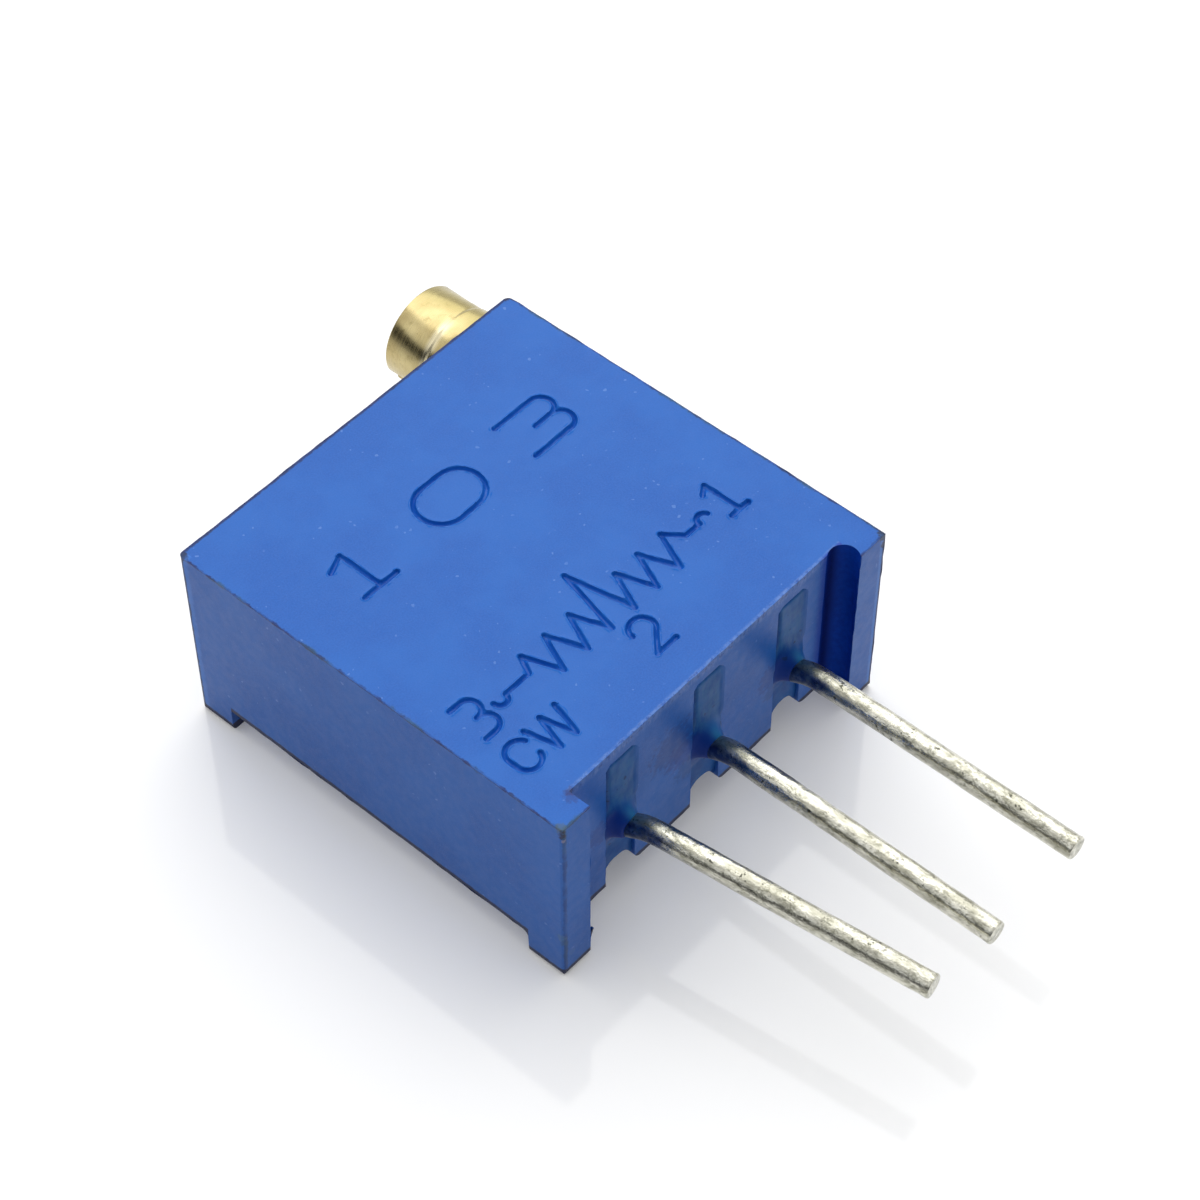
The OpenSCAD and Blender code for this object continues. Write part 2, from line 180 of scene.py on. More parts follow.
def prism(points, axis, a, b):
    bm = bmesh.new()
    add_prism(bm, points, axis, a, b)
    return bm


def box(lo, hi):
    (x0, y0, z0), (x1, y1, z1) = lo, hi
    return prism([(x0, y0), (x1, y0), (x1, y1), (x0, y1)], "z", z0, z1)


def on_circle(cx, cy, r, a):
    return (cx + r * math.cos(a), cy + r * math.sin(a))


def circle(cx, cy, r, n):
    return [on_circle(cx, cy, r, 2 * math.pi * i / n) for i in range(n)]


def combine(base, tools, operation):
    """Exact boolean of base with each tool; the tools go away. Works on bmeshes, in metres inside."""
    keep = to_object(base, "work")
    for tool in tools:
        bmesh.ops.recalc_face_normals(tool, faces=tool.faces)
        other = to_object(tool, "tool")
        mod = keep.modifiers.new("b", "BOOLEAN")
        mod.operation = operation
        mod.solver = "EXACT"
        mod.object = other
        dg = bpy.context.evaluated_depsgraph_get()
        mesh = bpy.data.meshes.new_from_object(keep.evaluated_get(dg))
        keep.modifiers.clear()
        old = keep.data
        keep.data = mesh
        bpy.data.meshes.remove(old)
        bpy.data.objects.remove(other)
    out = bmesh.new()
    out.from_mesh(keep.data)
    bmesh.ops.transform(out, matrix=Matrix.Scale(1 / MM, 4), verts=out.verts)
    bpy.data.objects.remove(keep)
    return out


# ---- engraved marks: strokes around the middle of the marked face ----

def arc(cx, cy, r, a0, a1):
    n = max(4, int(abs(a1 - a0) / 14))
    return [on_circle(cx, cy, r, math.radians(a0 + (a1 - a0) * i / n)) for i in range(n + 1)]


def one(w, h):
    return [[(-w / 2, h * 0.32), (0, h / 2), (0, -h / 2)], [(-w / 2, -h / 2), (w / 2, -h / 2)]]


def three(w, h):
    b = h / 4
    x = w / 2 - b
    return [[(-w / 2, 2 * b)] + arc(x, b, b, 90, -90) + [(-w * 0.05, 0)],
            arc(x, -b, b, 90, -90) + [(-w / 2, -2 * b)]]


def nought(w, h):
    r = h / 2
    x = w / 2 - r
    loop = arc(x, 0, r, -90, 90) + arc(-x, 0, r, 90, 270)
    return [loop + [loop[0]]]


def two(w, h):
    r = w / 2
    return [arc(0, h / 2 - r, r, 180, -30) + [(-w / 2, -h / 2), (w / 2, -h / 2)]]


def letter_c(w, h):
    r = w / 2
    return [arc(0, h / 2 - r, r, 20, 180) + arc(0, r - h / 2, r, 180, 340)]


def letter_w(w, h):
    return [[(-w / 2, h / 2), (-w / 4, -h / 2), (0, h / 2), (w / 4, -h / 2), (w / 2, h / 2)]]


def resistor_symbol():
    step, top, bottom, middle = 0.68, -1.7, -2.55, -2.1
    first = -3 * step - 0.2
    zig = [(-3.1, middle), (first - 0.2, middle)]
    for i in range(7):
        zig.append((first + i * step, -1.0 if i == 3 else top))
        zig.append((first + (i + 0.45) * step, middle if i == 6 else bottom))
    zig.append((2.5, middle))
    return [zig, arc(2.72, middle, 0.16, 20, 180), arc(-3.26, middle, 0.16, 180, 360)]


def all_strokes():
    out = []
    for glyph, cx, cy in (
            (one(0.9, 1.12), -2.7, 2.08), (nought(1.6, 1.12), -0.15, 2.08),
            (three(1.35, 1.12), 2.45, 2.08), (three(0.5, 0.96), -3.85, -2.08),
            (one(0.5, 0.94), 3.4, -1.98), (two(0.56, 0.9), -0.2, -3.17),
            (letter_c(0.56, 0.76), -3.94, -3.32), (letter_w(0.86, 0.76), -3.1, -3.33),
            (resistor_symbol(), 0, 0)):
        for line in glyph:
            out.append([Vector((x + cx, y + cy)) for x, y in line])
    return out


def roughen(lines, size=0.09, wander=0.012):
    """Strokes cut into short steps that wander a little, as a hand-cut mould leaves them."""
    out = []
    for line in lines:
        pts = [line[0]]
        for a, b in zip(line, line[1:]):
            n = max(1, round((b - a).length / size))
            pts += [a.lerp(b, i / n) for i in range(1, n + 1)]
        out.append([p + wander * Vector(noise.noise_vector((p.x * 2.3, p.y * 2.3, 5.0))[:2]) for p in pts])
    return out


def to_segment(p, ax, ay, dx, dy):
    """Distance of each (n, 2) point from the segment that starts at (ax, ay) and runs by (dx, dy)."""
    t = np.clip(((p[:, 0] - ax) * dx + (p[:, 1] - ay) * dy) / max(dx * dx + dy * dy, 1e-12), 0, 1)
    return np.hypot(p[:, 0] - ax - t * dx, p[:, 1] - ay - t * dy)


def distances(points, lines):
    """Distance from each (n, 2) point to the nearest stroke."""
    return np.min([to_segment(points, a.x, a.y, b.x - a.x, b.y - a.y)
                   for line in lines for a, b in zip(line, line[1:])], axis=0)


def groove_depth(d, x, y):
    """Depth of the engraving at distance d from a stroke's middle: a round valley with a low raised lip."""
    half = MARK_W / 2 * (1 + 0.25 * noise.noise((x * 3.1, y * 3.1, 1.7)))
    lip = 0.007 * math.exp(-((d - half * 1.3) / 0.022) ** 2) * (1 + noise.noise((x * 9, y * 9, 2.0)))
    if d >= half:
        return lip
    s = d / half
    return lip - MARK_DEPTH * (1 - s * s) ** 0.7 * (1 + 0.3 * noise.noise((x * 6, y * 6, 4.0)))


# Distances from a stroke's middle line at which the marked face has rows of points
STROKE_ROWS = (0, 0.025, 0.045, 0.06, 0.075, 0.095, 0.13, MARK_REACH)


def top_points(rim, lines):
    """Points for the marked face: rows along the strokes, then a coarse grid, all inside the rim."""
    pts = []
    for line in lines:
        last = len(line) - 1
        for i, a in enumerate(line):
            ahead = (line[min(i + 1, last)] - line[max(i - 1, 0)]).normalized()
            side = Vector((-ahead.y, ahead.x))
            for off in STROKE_ROWS:
                for s in ((1, -1) if off else (1,)):
                    pts.append((*(a + s * off * side), off))
            if i in (0, last) or (line[i + 1] - a).normalized().dot((a - line[i - 1]).normalized()) < 0.9:
                for off in STROKE_ROWS[1:-1]:
                    pts += [(*p, off) for p in circle(a.x, a.y, off, 14)]
    fine = np.array(pts)
    fine = fine[np.abs(distances(fine[:, :2], lines) - fine[:, 2]) < 0.012]
    coarse = np.array([(x * 0.22 + 0.11 * (y % 2), y * 0.2) for x in range(-24, 25) for y in range(-26, 27)])
    coarse = coarse[distances(coarse, lines) > 0.26]
    both = np.vstack([fine[:, :2], coarse])
    edge = np.array([(p.x, p.y - FACE_MID) for p in rim])
    inside = np.ones(len(both), bool)
    for a, b in zip(edge, np.roll(edge, -1, axis=0)):
        inside &= to_segment(both, *a, *(b - a)) > 0.07
    return both[inside]


def painted_stroke_shade(x, y, z):
    """Painted shade of a point of an engraved stroke: full in its depth, fainter here and there."""
    low = max(0, -z / MARK_DEPTH)
    fade = 0.72 + 0.5 * noise.noise((x * 1.7, y * 1.7, 8.0))
    hollow = smooth(0.0, 0.25, noise.noise((x * 1.1, y * 1.1, 3.0))) * smooth(0.75, 1.0, low)
    return min(1, 1.5 * low) * min(1, fade) * (1 - 0.45 * hollow)


def fill_top(bm):
    """The flat top face becomes a fine net that carries the engraved marks."""
    # painted shade down in the engraved strokes, kept on each vertex
    stroke_shade_layer = bm.verts.layers.float.new("stroke_shade")
    face = max((f for f in bm.faces if f.normal.z > 0.99 and f.calc_center_median().z > TOP - 0.01),
               key=lambda f: f.calc_area())
    rim = list(face.verts)
    lines = roughen(all_strokes())
    pts = top_points([v.co for v in rim], lines)
    n = len(rim)
    flat = [Vector((v.co.x, v.co.y - FACE_MID)) for v in rim] + [Vector(p) for p in pts]
    verts, _, faces, origin, *_ = delaunay_2d_cdt(flat, [], [list(range(n))], 1, 1e-5)
    away = distances(np.array([tuple(v) for v in verts]), lines)
    bm.faces.remove(face)
    made = {}
    for i in {k for f in faces for k in f}:
        v = verts[i]
        if origin[i] and origin[i][0] < n:
            made[i] = rim[origin[i][0]]
            continue
        z = groove_depth(away[i], v.x, v.y) if away[i] < MARK_REACH else 0
        made[i] = bm.verts.new((v.x, v.y + FACE_MID, TOP + z))
        made[i][stroke_shade_layer] = painted_stroke_shade(v.x, v.y, z)
    for f in faces:
        a, b, c = (made[k] for k in f)
        if (b.co - a.co).cross(c.co - a.co).z < 0:
            b, c = c, b
        bm.faces.new((a, b, c))


# ---- the moulded case ----

# How far a cutter reaches past the face it cuts
PAST = 0.1
# Roundings: corner, the side of it where the solid lies, radius, axis, from and to along it
ROUNDINGS = [
    (-HALF_W, 0, 1, 1, 0.09, "z", SOLE - PAST, TOP + PAST),
    (-HALF_W, LENGTH, 1, -1, 0.11, "z", SOLE - PAST, TOP + PAST),
    (HALF_W, LENGTH, -1, -1, 0.13, "z", SOLE - PAST, TOP + PAST),
    (-HALF_W, SOLE, 1, 1, 0.13, "y", -PAST, LENGTH + PAST),
    (0, SOLE, 1, 1, 0.12, "x", -HALF_W - PAST, HALF_W + PAST),
    (HALF_W - RIB, SOLE, 1, 1, 0.08, "y", -PAST, FOOT + PAST),
    (-HALF_W + RIB, SOLE, -1, 1, 0.1, "y", -PAST, FOOT + PAST)]
ROUNDINGS += [(x + SLOT_HALF, BACK, 1, 1, 0.2, "y", RECESS - PAST, SLOT_END) for x in SLOT_X]
# Hollows as low and high corners: cavity, bed of the ceramic, chamber of the rotor, pocket of the clip
HOLLOWS = (
    ((-CAVITY_X, CAVITY_Y0, BACK - 1), (CAVITY_X, CAVITY_Y1, CERAMIC_Z)),
    ((-CAVITY_X, CAVITY_Y0, CERAMIC_Z - 0.02), (CAVITY_X, CHAMBER_Y1, TRACK_Z)),
    ((-3.6, CHAMBER_Y0, TRACK_Z - 0.02), (CAVITY_X - 0.07, CHAMBER_Y1, ROOF_Z)),
    ((2.73, CLIP_Y0, TRACK_Z + 0.01), (4.47, CLIP_Y1, 1.97)))
# Bores of the screw: radius, from and to along y
BORES = ((BORE_R, CHAMBER_Y0, LENGTH + 0.05), (0.48, 1.05, 1.52))
# Spur of flash on the near foot, as (x, z)
FLASH = ((-4.03, -2.16), (-3.985, -2.1), (-3.955, -1.98), (-3.9, -1.85), (-3.925, -1.835), (-4.03, -1.93))


def case_plan():
    """Outline of the case from above, with the recess and its groove."""
    gx, gy, r = GROOVE
    inner = HALF_W - RIB
    a0 = math.pi - math.asin((RECESS - gy) / r)
    a1 = -math.acos((inner - gx) / r)
    groove = [on_circle(gx, gy, r, a0 + (a1 - a0) * i / 14) for i in range(15)]
    return ([(-HALF_W, 0), (-inner, 0), (-inner, RECESS)] + groove +
            [(inner, 0), (HALF_W, 0), (HALF_W, LENGTH), (-HALF_W, LENGTH)])


def foot_profile(fillet):
    arc_pts = [(FOOT + fillet - fillet * math.cos(a), BACK - fillet + fillet * math.sin(a))
               for a in (i * math.pi / 12 for i in range(7))]
    return [(0, SOLE), (FOOT, SOLE)] + arc_pts + [(FOOT + fillet, BACK + 0.1), (0, BACK + 0.1)]


def corner_cutter(px, py, sx, sy, r, axis, a, b):
    """What a rounding of radius r takes off the corner (px, py) of a solid that lies to its (sx, sy) side."""
    bend = [(px + sx * r * (1 - math.sin(t)), py + sy * r * (1 - math.cos(t)))
            for t in np.linspace(0, math.pi / 2, 7)]
    out = [(px - sx * PAST, py + sy * r), (px - sx * PAST, py - sy * PAST), (px + sx * r, py - sy * PAST)]
    return prism(bend + out, axis, a, b)


def foot_blanks():
    """The four feet; the near left one has the larger fillet."""
    feet = []
    for x0 in (-HALF_W, HALF_W - RIB):
        for far in (False, True):
            shape = foot_profile(0.16 if x0 < 0 and not far else 0.05)
            shape = [(LENGTH - y if far else y, z) for y, z in shape]
            feet.append(prism(shape, "x", x0, x0 + RIB))
    return feet


def slot_cutters(x):
    """The open slot of one pin in the recess, and its way through to the cavity."""
    low, high, corner, slack = BACK - PAST, SLOT_TOP - 0.1, 0.12, 0.001
    left, right = x - SLOT_HALF, x + SLOT_HALF
    shape = [(left, low), (right, low), (right, high), (right - corner, SLOT_TOP), (left + corner, SLOT_TOP),
             (left, high)]
    return [prism(shape, "y", RECESS - 0.05, POCKET_Y),
            box((left + slack, POCKET_Y - 0.05, low), (right - slack, SLOT_END, -0.05))]


def case_blank():
    """The case before its edges are bevelled."""
    body = prism(case_plan(), "z", BACK, TOP)
    bmesh.ops.recalc_face_normals(body, faces=body.faces)
    body = combine(body, foot_blanks(), "UNION")
    tools = [tool for x in SLOT_X for tool in slot_cutters(x)]
    tools += [box(lo, hi) for lo, hi in HOLLOWS]
    tools += [prism(circle(SCREW_X, SCREW_Z, r, 64), "y", y0, y1) for r, y0, y1 in BORES]
    tools += [corner_cutter(*row) for row in ROUNDINGS]
    return combine(body, tools, "DIFFERENCE")


def on_skin(p):
    """True for points on the outside of the case, where edges are rounded and worn."""
    t = 2e-3
    gx, gy, r = GROOVE
    in_recess = abs(p.x) < HALF_W - RIB + t
    return (abs(p.x) > HALF_W - t or p.z > TOP - t or p.z < BACK + t or p.y < t or p.y > LENGTH - t
            or in_recess and min(abs(p.y - RECESS), abs(math.hypot(p.x - gx, p.y - gy) - r)) < t)


def split_long(edge, step):
    cuts = int(edge.calc_length() / step)
    start, end = edge.verts
    for i in range(cuts, 1, -1):
        _, new = bmesh.utils.edge_split(edge, start, 1 / i)
        edge = next(e for e in new.link_edges if e.other_vert(new) is end)
        start = new


def is_worn(e):
    """True for the sharp outer edges of the case, except round the screw's bore."""
    a, b = (v.co for v in e.verts)
    bore = a.y > LENGTH - 0.01 and math.hypot(a.x - SCREW_X, a.z - SCREW_Z) < BORE_R + 0.01
    return (len(e.link_faces) == 2 and e.calc_face_angle(0) > math.radians(25)
            and all(on_skin(p) for p in (a, b, (a + b) / 2)) and not bore)


def round_edges(bm):
    """Bevels the worn edges, and lets the rounding wander a little in the planes beside it."""
    for e in [e for e in bm.edges if is_worn(e)]:
        split_long(e, 0.22)
    made = bmesh.ops.bevel(bm, geom=[e for e in bm.edges if is_worn(e)], offset=EDGE_R, segments=3,
                           profile=0.5, affect="EDGES", clamp_overlap=True)
    strip = set(made["faces"])
    for v in {v for f in strip for v in f.verts}:
        flats = [f.normal.copy() for f in v.link_faces if f not in strip]
        shift = 0.016 * noise.noise_vector(v.co * 2.3) + 0.012 * noise.noise_vector(v.co * 7.0)
        for n in flats:
            shift -= n * n.dot(shift)
        v.co += shift


def blunt_tip(bm):
    """Pushes in the tip of the near left foot."""
    tip = Vector((-HALF_W, 0, SOLE + 0.05))
    for v in bm.verts:
        near = max(0, 1 - (v.co - tip).length / 0.35)
        v.co += 0.012 * near * near * Vector((1, 1, 0.4))


def add_roof_post(bm):
    """The post that the rotor turns on, and the boss that limits its turn."""
    roof = ROOF_Z + 0.02
    add_prism(bm, circle(ROTOR_X, ROTOR_Y, 0.5, 48), "z", 0.75, roof)
    turn = np.radians(np.linspace(253, 287, 9))
    boss = [on_circle(ROTOR_X, ROTOR_Y, 1.45, a) for a in turn]
    boss += [on_circle(ROTOR_X, ROTOR_Y, 2.15, a) for a in turn[::-1]]
    add_prism(bm, boss, "z", 1.51, roof)


def build_case():
    bm = case_blank()
    bmesh.ops.remove_doubles(bm, verts=bm.verts, dist=2e-4)
    bmesh.ops.dissolve_limit(bm, angle_limit=math.radians(0.5), verts=bm.verts, edges=bm.edges)
    round_edges(bm)
    blunt_tip(bm)
    add_prism(bm, FLASH, "y", 0.003, 0.06)
    fill_top(bm)
    add_roof_post(bm)
    return smooth_object(bm, "case_shell")


# ---- sealing resin ----

def add_back(bm, cells=44):
    """The resin poured over the back, a little sunk along the walls."""
    share = [(1 - math.cos(math.pi * i / cells)) / 2 for i in range(cells + 1)]
    rows = []
    for v in share:
        y = CAVITY_Y0 + (CAVITY_Y1 - CAVITY_Y0) * v
        row = []
        for u in share:
            x = -CAVITY_X + 2 * CAVITY_X * u
            wall = min(x + CAVITY_X, CAVITY_X - x, y - CAVITY_Y0, CAVITY_Y1 - y)
            z = SEAL_Z + 0.03 - 0.1 * math.exp(-wall / 0.16) + 0.02 * noise.noise((x * 0.6, y * 0.6, 3))
            row.append(bm.verts.new((x, y, z)))
        rows.append(row)
    add_net(bm, list(zip(*rows)))
    close_net(bm, rows, lambda p: (p.x, p.y, CERAMIC_Z))


def plug_point(cx, seed, i, j):
    """Place of one point of a slot's fill, then its three tints: painted shade, painted highlight and plain
    blue.
    """
    half = PLUG_HALF
    u = (2 * i / PLUG_COLS - 1) * half
    foot = PLUG_LOW - 0.3 * min(1, abs((u + 0.03) / 0.42)) ** 2.6
    head = SLOT_TOP - 0.012 - 0.1 * max(0, (abs(u) - half + 0.12) / 0.12)
    z = foot + (head - foot) * j / PLUG_ROWS
    # spill to the left, lap over the rim to the right
    wave = noise.noise((z * 2.4, seed * 3.1, 0))
    spill = 0.04 * smooth(0.65, 0.25, z) * smooth(-1.25, -0.75, z) * (1 + 0.35 * wave)
    left = cx - half - spill
    lap = 0.075 * smooth(0.2, 0.4, z) * smooth(SLOT_TOP - 0.06, SLOT_TOP - 0.25, z)
    x = left + (2 * half + spill + lap) * i / PLUG_COLS
    rim = min(x - left, (SLOT_TOP - z) * 1.2)
    # climb up the pin, bowl beside it, gap at the upper rim
    pin = math.hypot(x - cx, (z + 0.18) * 0.88)
    climb = math.exp(-(max(pin - 0.25, 0) / 0.12) ** 1.3) * smooth(-0.6, -0.32, z)
    bowl = math.exp(-(((x - cx + 0.3) / 0.2) ** 2 + ((z + 0.05) / 0.4) ** 2))
    gap = smooth(0.3, 0.7, z) * math.exp(-(max(rim, 0) / 0.08) ** 2) * smooth(half, half - 0.15, x - cx)
    y = RECESS + 0.008 + 0.1 * gap
    y += 0.05 * bowl - 0.29 * climb + 0.07 * smooth(-0.45, -0.9, z)
    y += 0.012 * noise.noise((x * 3, z * 2.2, seed * 7.0))
    # the spill is a film on the wall, the lap dips into it
    over = smooth(0.0, 0.08, cx - half - x) * smooth(0.0, 0.04, spill)
    film = RECESS + 0.006 - 0.018 * smooth(0, 0.18, x - left)
    y = y * (1 - over) + film * over
    flush = smooth(half - 0.06, half + 0.01, x - cx) * smooth(0.0, 0.03, lap)
    y = y * (1 - flush) + (RECESS - 0.004) * flush
    # painted shade darkens the bowl left of the pin, the gap at the upper rim and the spilt film; painted
    # highlight sits at the top of the pin's root
    dark = math.exp(-(((x - cx + 0.3) / 0.3) ** 2 + ((z + 0.02) / 0.42) ** 2) ** 1.4)
    deep_shade = max(0, min(1, 1.25 * dark + 0.5 * climb * smooth(0.1, -0.1, x - cx) + 1.1 * gap + 0.5 * over))
    teal_highlight = math.exp(-(((x - cx - 0.06) / 0.12) ** 2 + ((z - 0.13) / 0.1) ** 2))
    plain = max(smooth(half - 0.12, half + 0.06, x - cx) * smooth(0.15, 0.4, z),
                smooth(0.2, 0.0, x - left) * over)
    return (x, y, z), deep_shade, teal_highlight, plain


def add_plug(bm, cx, seed, layers):
    """The fill of one slot: flush at the top, climbing the pin, spilt to its left, arched below."""
    rows = []
    for j in range(PLUG_ROWS + 1):
        row = []
        for i in range(PLUG_COLS + 1):
            place, *tints = plug_point(cx, seed, i, j)
            v = bm.verts.new(place)
            for layer, tint in zip(layers, tints):
                v[layer] = tint
            row.append(v)
        rows.append(row)
    add_net(bm, rows)

    def behind(p):
        return (min(max(p.x, cx - PLUG_HALF), cx + PLUG_HALF), SLOT_END if p.z < -0.05 else POCKET_Y, p.z)

    close_net(bm, rows, behind)


def build_resin():
    """Resin over the back, and in each slot a fill round the pin's root."""
    bm = bmesh.new()
    layers = [bm.verts.layers.float.new(name) for name in ("deep_shade", "teal_highlight", "plain")]
    add_back(bm)
    for seed, x in enumerate(SLOT_X):
        add_plug(bm, x, seed, layers)
    bmesh.ops.recalc_face_normals(bm, faces=bm.faces)
    return smooth_object(bm, "sealing_resin")


# ---- pins ----

def pin_path(n):
    """Middle line of pin n from its solder joint to its cut end."""
    x = SLOT_X[n - 1]
    # down through the ceramic and round towards the slot
    bend, bend_y = 0.26, 1.76
    pts = [Vector((x, bend_y + bend, z)) for z in (0.36, CERAMIC_Z)]
    pts += [Vector((x, bend_y + bend * math.cos(a), CERAMIC_Z - bend * math.sin(a)))
            for a in np.linspace(0.2, math.pi / 2, 7)]
    # a jog of this lift and slope, its bends of radius 0.5 and 1
    lift, slope, inner, out = 0.38, math.radians(27), 0.5, -0.35
    run = (lift - 1.5 * (1 - math.cos(slope))) / math.sin(slope)
    kink = out + math.sin(slope) + run * math.cos(slope) + inner * math.sin(slope)
    for a in np.linspace(0, slope, 6):
        pts.append(Vector((x, kink - inner * math.sin(a), -lift + inner * (1 - math.cos(a)))))
    for a in np.linspace(slope, 0, 8):
        pts.append(Vector((x, out + math.sin(a), math.cos(a) - 1)))
    end = TIP_Y + (0.12 if n == BENT_PIN else 0)
    steps = 150
    pts += [Vector((x, out + (end - out) * i / steps, 0)) for i in range(1, steps + 1)]
    if n == BENT_PIN:
        for p in pts:
            if p.y < kink - 1e-6:
                dy = p.y - kink
                p.x, p.y = x - dy * math.sin(BENT_BY), kink + dy * math.cos(BENT_BY)
    return pts


def pin_rings(bm, pts, n, sides=30):
    """A ring round each point of the path, lumpy with solder outside the case."""
    rings = []
    last = len(pts) - 1
    for i, p in enumerate(pts):
        ahead = (pts[min(i + 1, last)] - pts[max(i - 1, 0)]).normalized()
        across = Vector((1, 0, 0))
        across = (across - ahead * across.dot(ahead)).normalized()
        up = across.cross(ahead)
        out_of_case = smooth(0.6, -0.6, p.y)
        ring = []
        for k in range(sides):
            a = 2 * math.pi * k / sides
            d = across * math.cos(a) + up * math.sin(a)
            q = p + d * PIN_R
            lump = noise.noise((q.x * 3.2 + 9 * n, q.y * 0.9, q.z * 3.2)) * 0.012
            lump += noise.noise((q.x * 7 + 9 * n, q.y * 3.5, q.z * 7)) * 0.006
            r = PIN_R - 0.004 + lump * out_of_case
            if i == last:
                r *= 0.97
            if i == last - 1:
                r += 0.006 + 0.01 * noise.noise((d.x * 1.5 + n, d.z * 1.5, 3.0))
            ring.append(bm.verts.new(p + d * r))
        rings.append(ring)
    return rings


def add_cut_end(bm, ring, tip, ahead, n):
    """The sheared end of pin n, a low ridge across it."""
    shear = Vector((math.cos(0.5 + n), 0, math.sin(0.5 + n)))
    outer = ring
    for scale, push in ((0.72, 0.012), (0.4, 0.016)):
        inner = []
        for v in ring:
            d = (v.co - tip) * scale
            ridge = 0.02 * (1 if d.dot(shear) > 0 else -0.4) * scale
            inner.append(bm.verts.new(tip + d + ahead * (push * 0.3 + ridge * 0.5)))
        add_band(bm, outer, inner)
        outer = inner
    bm.faces.new(outer)


def build_pin(n):
    """Wire with a lumpy coat of solder and a pinched, slightly burred end."""
    bm = bmesh.new()
    pts = pin_path(n)
    rings = pin_rings(bm, pts, n)
    for a, b in zip(rings, rings[1:]):
        add_band(bm, a, b)
    bm.faces.new(rings[0][::-1])
    add_cut_end(bm, rings[-1], pts[-1], (pts[-1] - pts[-2]).normalized(), n)
    bmesh.ops.recalc_face_normals(bm, faces=bm.faces)
    return smooth_object(bm, f"tinned_pin_{n}")


# ---- adjustment screw ----

# Turned profile as (y, radius): pivot, core, flange, neck for the clip, groove for the ring, head
PROFILE = (
    (1.1, 0.0), (1.1, 0.45), (2.2, 0.45), (2.2, 0.32), (8.1, 0.32), (8.1, 0.7), (CLIP_Y0, 0.7),
    (CLIP_Y0, 0.52), (CLIP_Y1, 0.52), (CLIP_Y1, 0.9), (9.06, 0.9), (9.06, 0.55), (9.44, 0.55), (9.44, 0.9),
    (LENGTH + 0.04, 0.9), (LENGTH + 0.04, 1.085), (LENGTH + 0.06, 1.095), (SHOULDER - 0.2, 1.1),
    (SHOULDER - 0.06, 1.113), (SHOULDER - 0.03, 1.11), (SHOULDER + 0.02, 1.083), (SHOULDER + 0.05, 1.08),
    (SHOULDER + 0.1, 1.09), (SCREW_END - 0.05, 1.1), (SCREW_END - 0.015, 1.085), (SCREW_END, 1.055),
    (SCREW_END, 0.0))


def add_turned(bm, sides=96):
    """The profile turned round the screw's axis."""
    rings = []
    for y, r in PROFILE:
        around = circle(SCREW_X, SCREW_Z, r, sides) if r else [(SCREW_X, SCREW_Z)]
        rings.append([bm.verts.new((x, y, z)) for x, z in around])
    for a, b in zip(rings, rings[1:]):
        for k in range(sides):
            m = (k + 1) % sides
            quad = [a[k % len(a)], a[m % len(a)], b[m % len(b)], b[k % len(b)]]
            bm.faces.new(list(dict.fromkeys(quad)))
    bmesh.ops.recalc_face_normals(bm, faces=bm.faces)


def drive_side(p):
    """Signed distance from the middle plane of the screwdriver slot."""
    return -(p.x - SCREW_X) * math.sin(DRIVE_TURN) + (p.z - SCREW_Z) * math.cos(DRIVE_TURN)


def cut_drive_slot(bm):
    """Cuts the screwdriver slot and bevels its upper edges."""
    tool = box((-2, DRIVE_FLOOR, -DRIVE_HALF), (2, SCREW_END + 1, DRIVE_HALF))
    turn = Matrix.Translation((SCREW_X, 0, SCREW_Z)) @ Matrix.Rotation(-DRIVE_TURN, 4, "Y")
    bmesh.ops.transform(tool, matrix=turn, verts=tool.verts)
    bm = combine(bm, [tool], "DIFFERENCE")
    bmesh.ops.remove_doubles(bm, verts=bm.verts, dist=1e-4)
    sharp = [e for e in bm.edges if len(e.link_faces) == 2 and e.calc_face_angle(0) > 0.6
             and all(abs(drive_side(v.co)) < DRIVE_HALF + 0.02 for v in e.verts)
             and min(v.co.y for v in e.verts) > DRIVE_FLOOR + 0.002]
    bmesh.ops.bevel(bm, geom=sharp, offset=0.02, segments=2, profile=0.5, affect="EDGES", clamp_overlap=True)
    return bm


def add_worm(bm):
    """A thread of seven turns round the core, of the gear's pitch."""
    pitch = 2 * math.pi * GEAR_R / GEAR_TEETH
    flare = math.tan(math.radians(20))
    root, crest = pitch * 0.42 / 2 + 0.22 * flare, pitch * 0.42 / 2 - 0.16 * flare
    section = [(0.2, -root), (0.32, -root), (0.7, -crest), (0.7, crest), (0.32, root), (0.2, root)]
    start = ROTOR_Y - 3.25 * pitch
    turns, sides = 7, 32
    rings = []
    for i in range(turns * sides + 1):
        a = 2 * math.pi * i / sides
        along = start + pitch * i / sides
        rings.append([bm.verts.new((SCREW_X + r * math.sin(a), along + y, SCREW_Z + r * math.cos(a)))
                      for r, y in section])
    faces = [bm.faces.new(rings[0]), bm.faces.new(rings[-1][::-1])]
    for a, b in zip(rings, rings[1:]):
        for k in range(6):
            m = (k + 1) % 6
            faces.append(bm.faces.new((a[k], b[k], b[m], a[m])))
    bmesh.ops.recalc_face_normals(bm, faces=faces)


def build_screw():
    """Turned screw with slot, collar, ring groove and neck, and its worm."""
    bm = bmesh.new()
    add_turned(bm)
    bm = cut_drive_slot(bm)
    add_worm(bm)
    return smooth_object(bm, "brass_screw")


# ---- materials ----

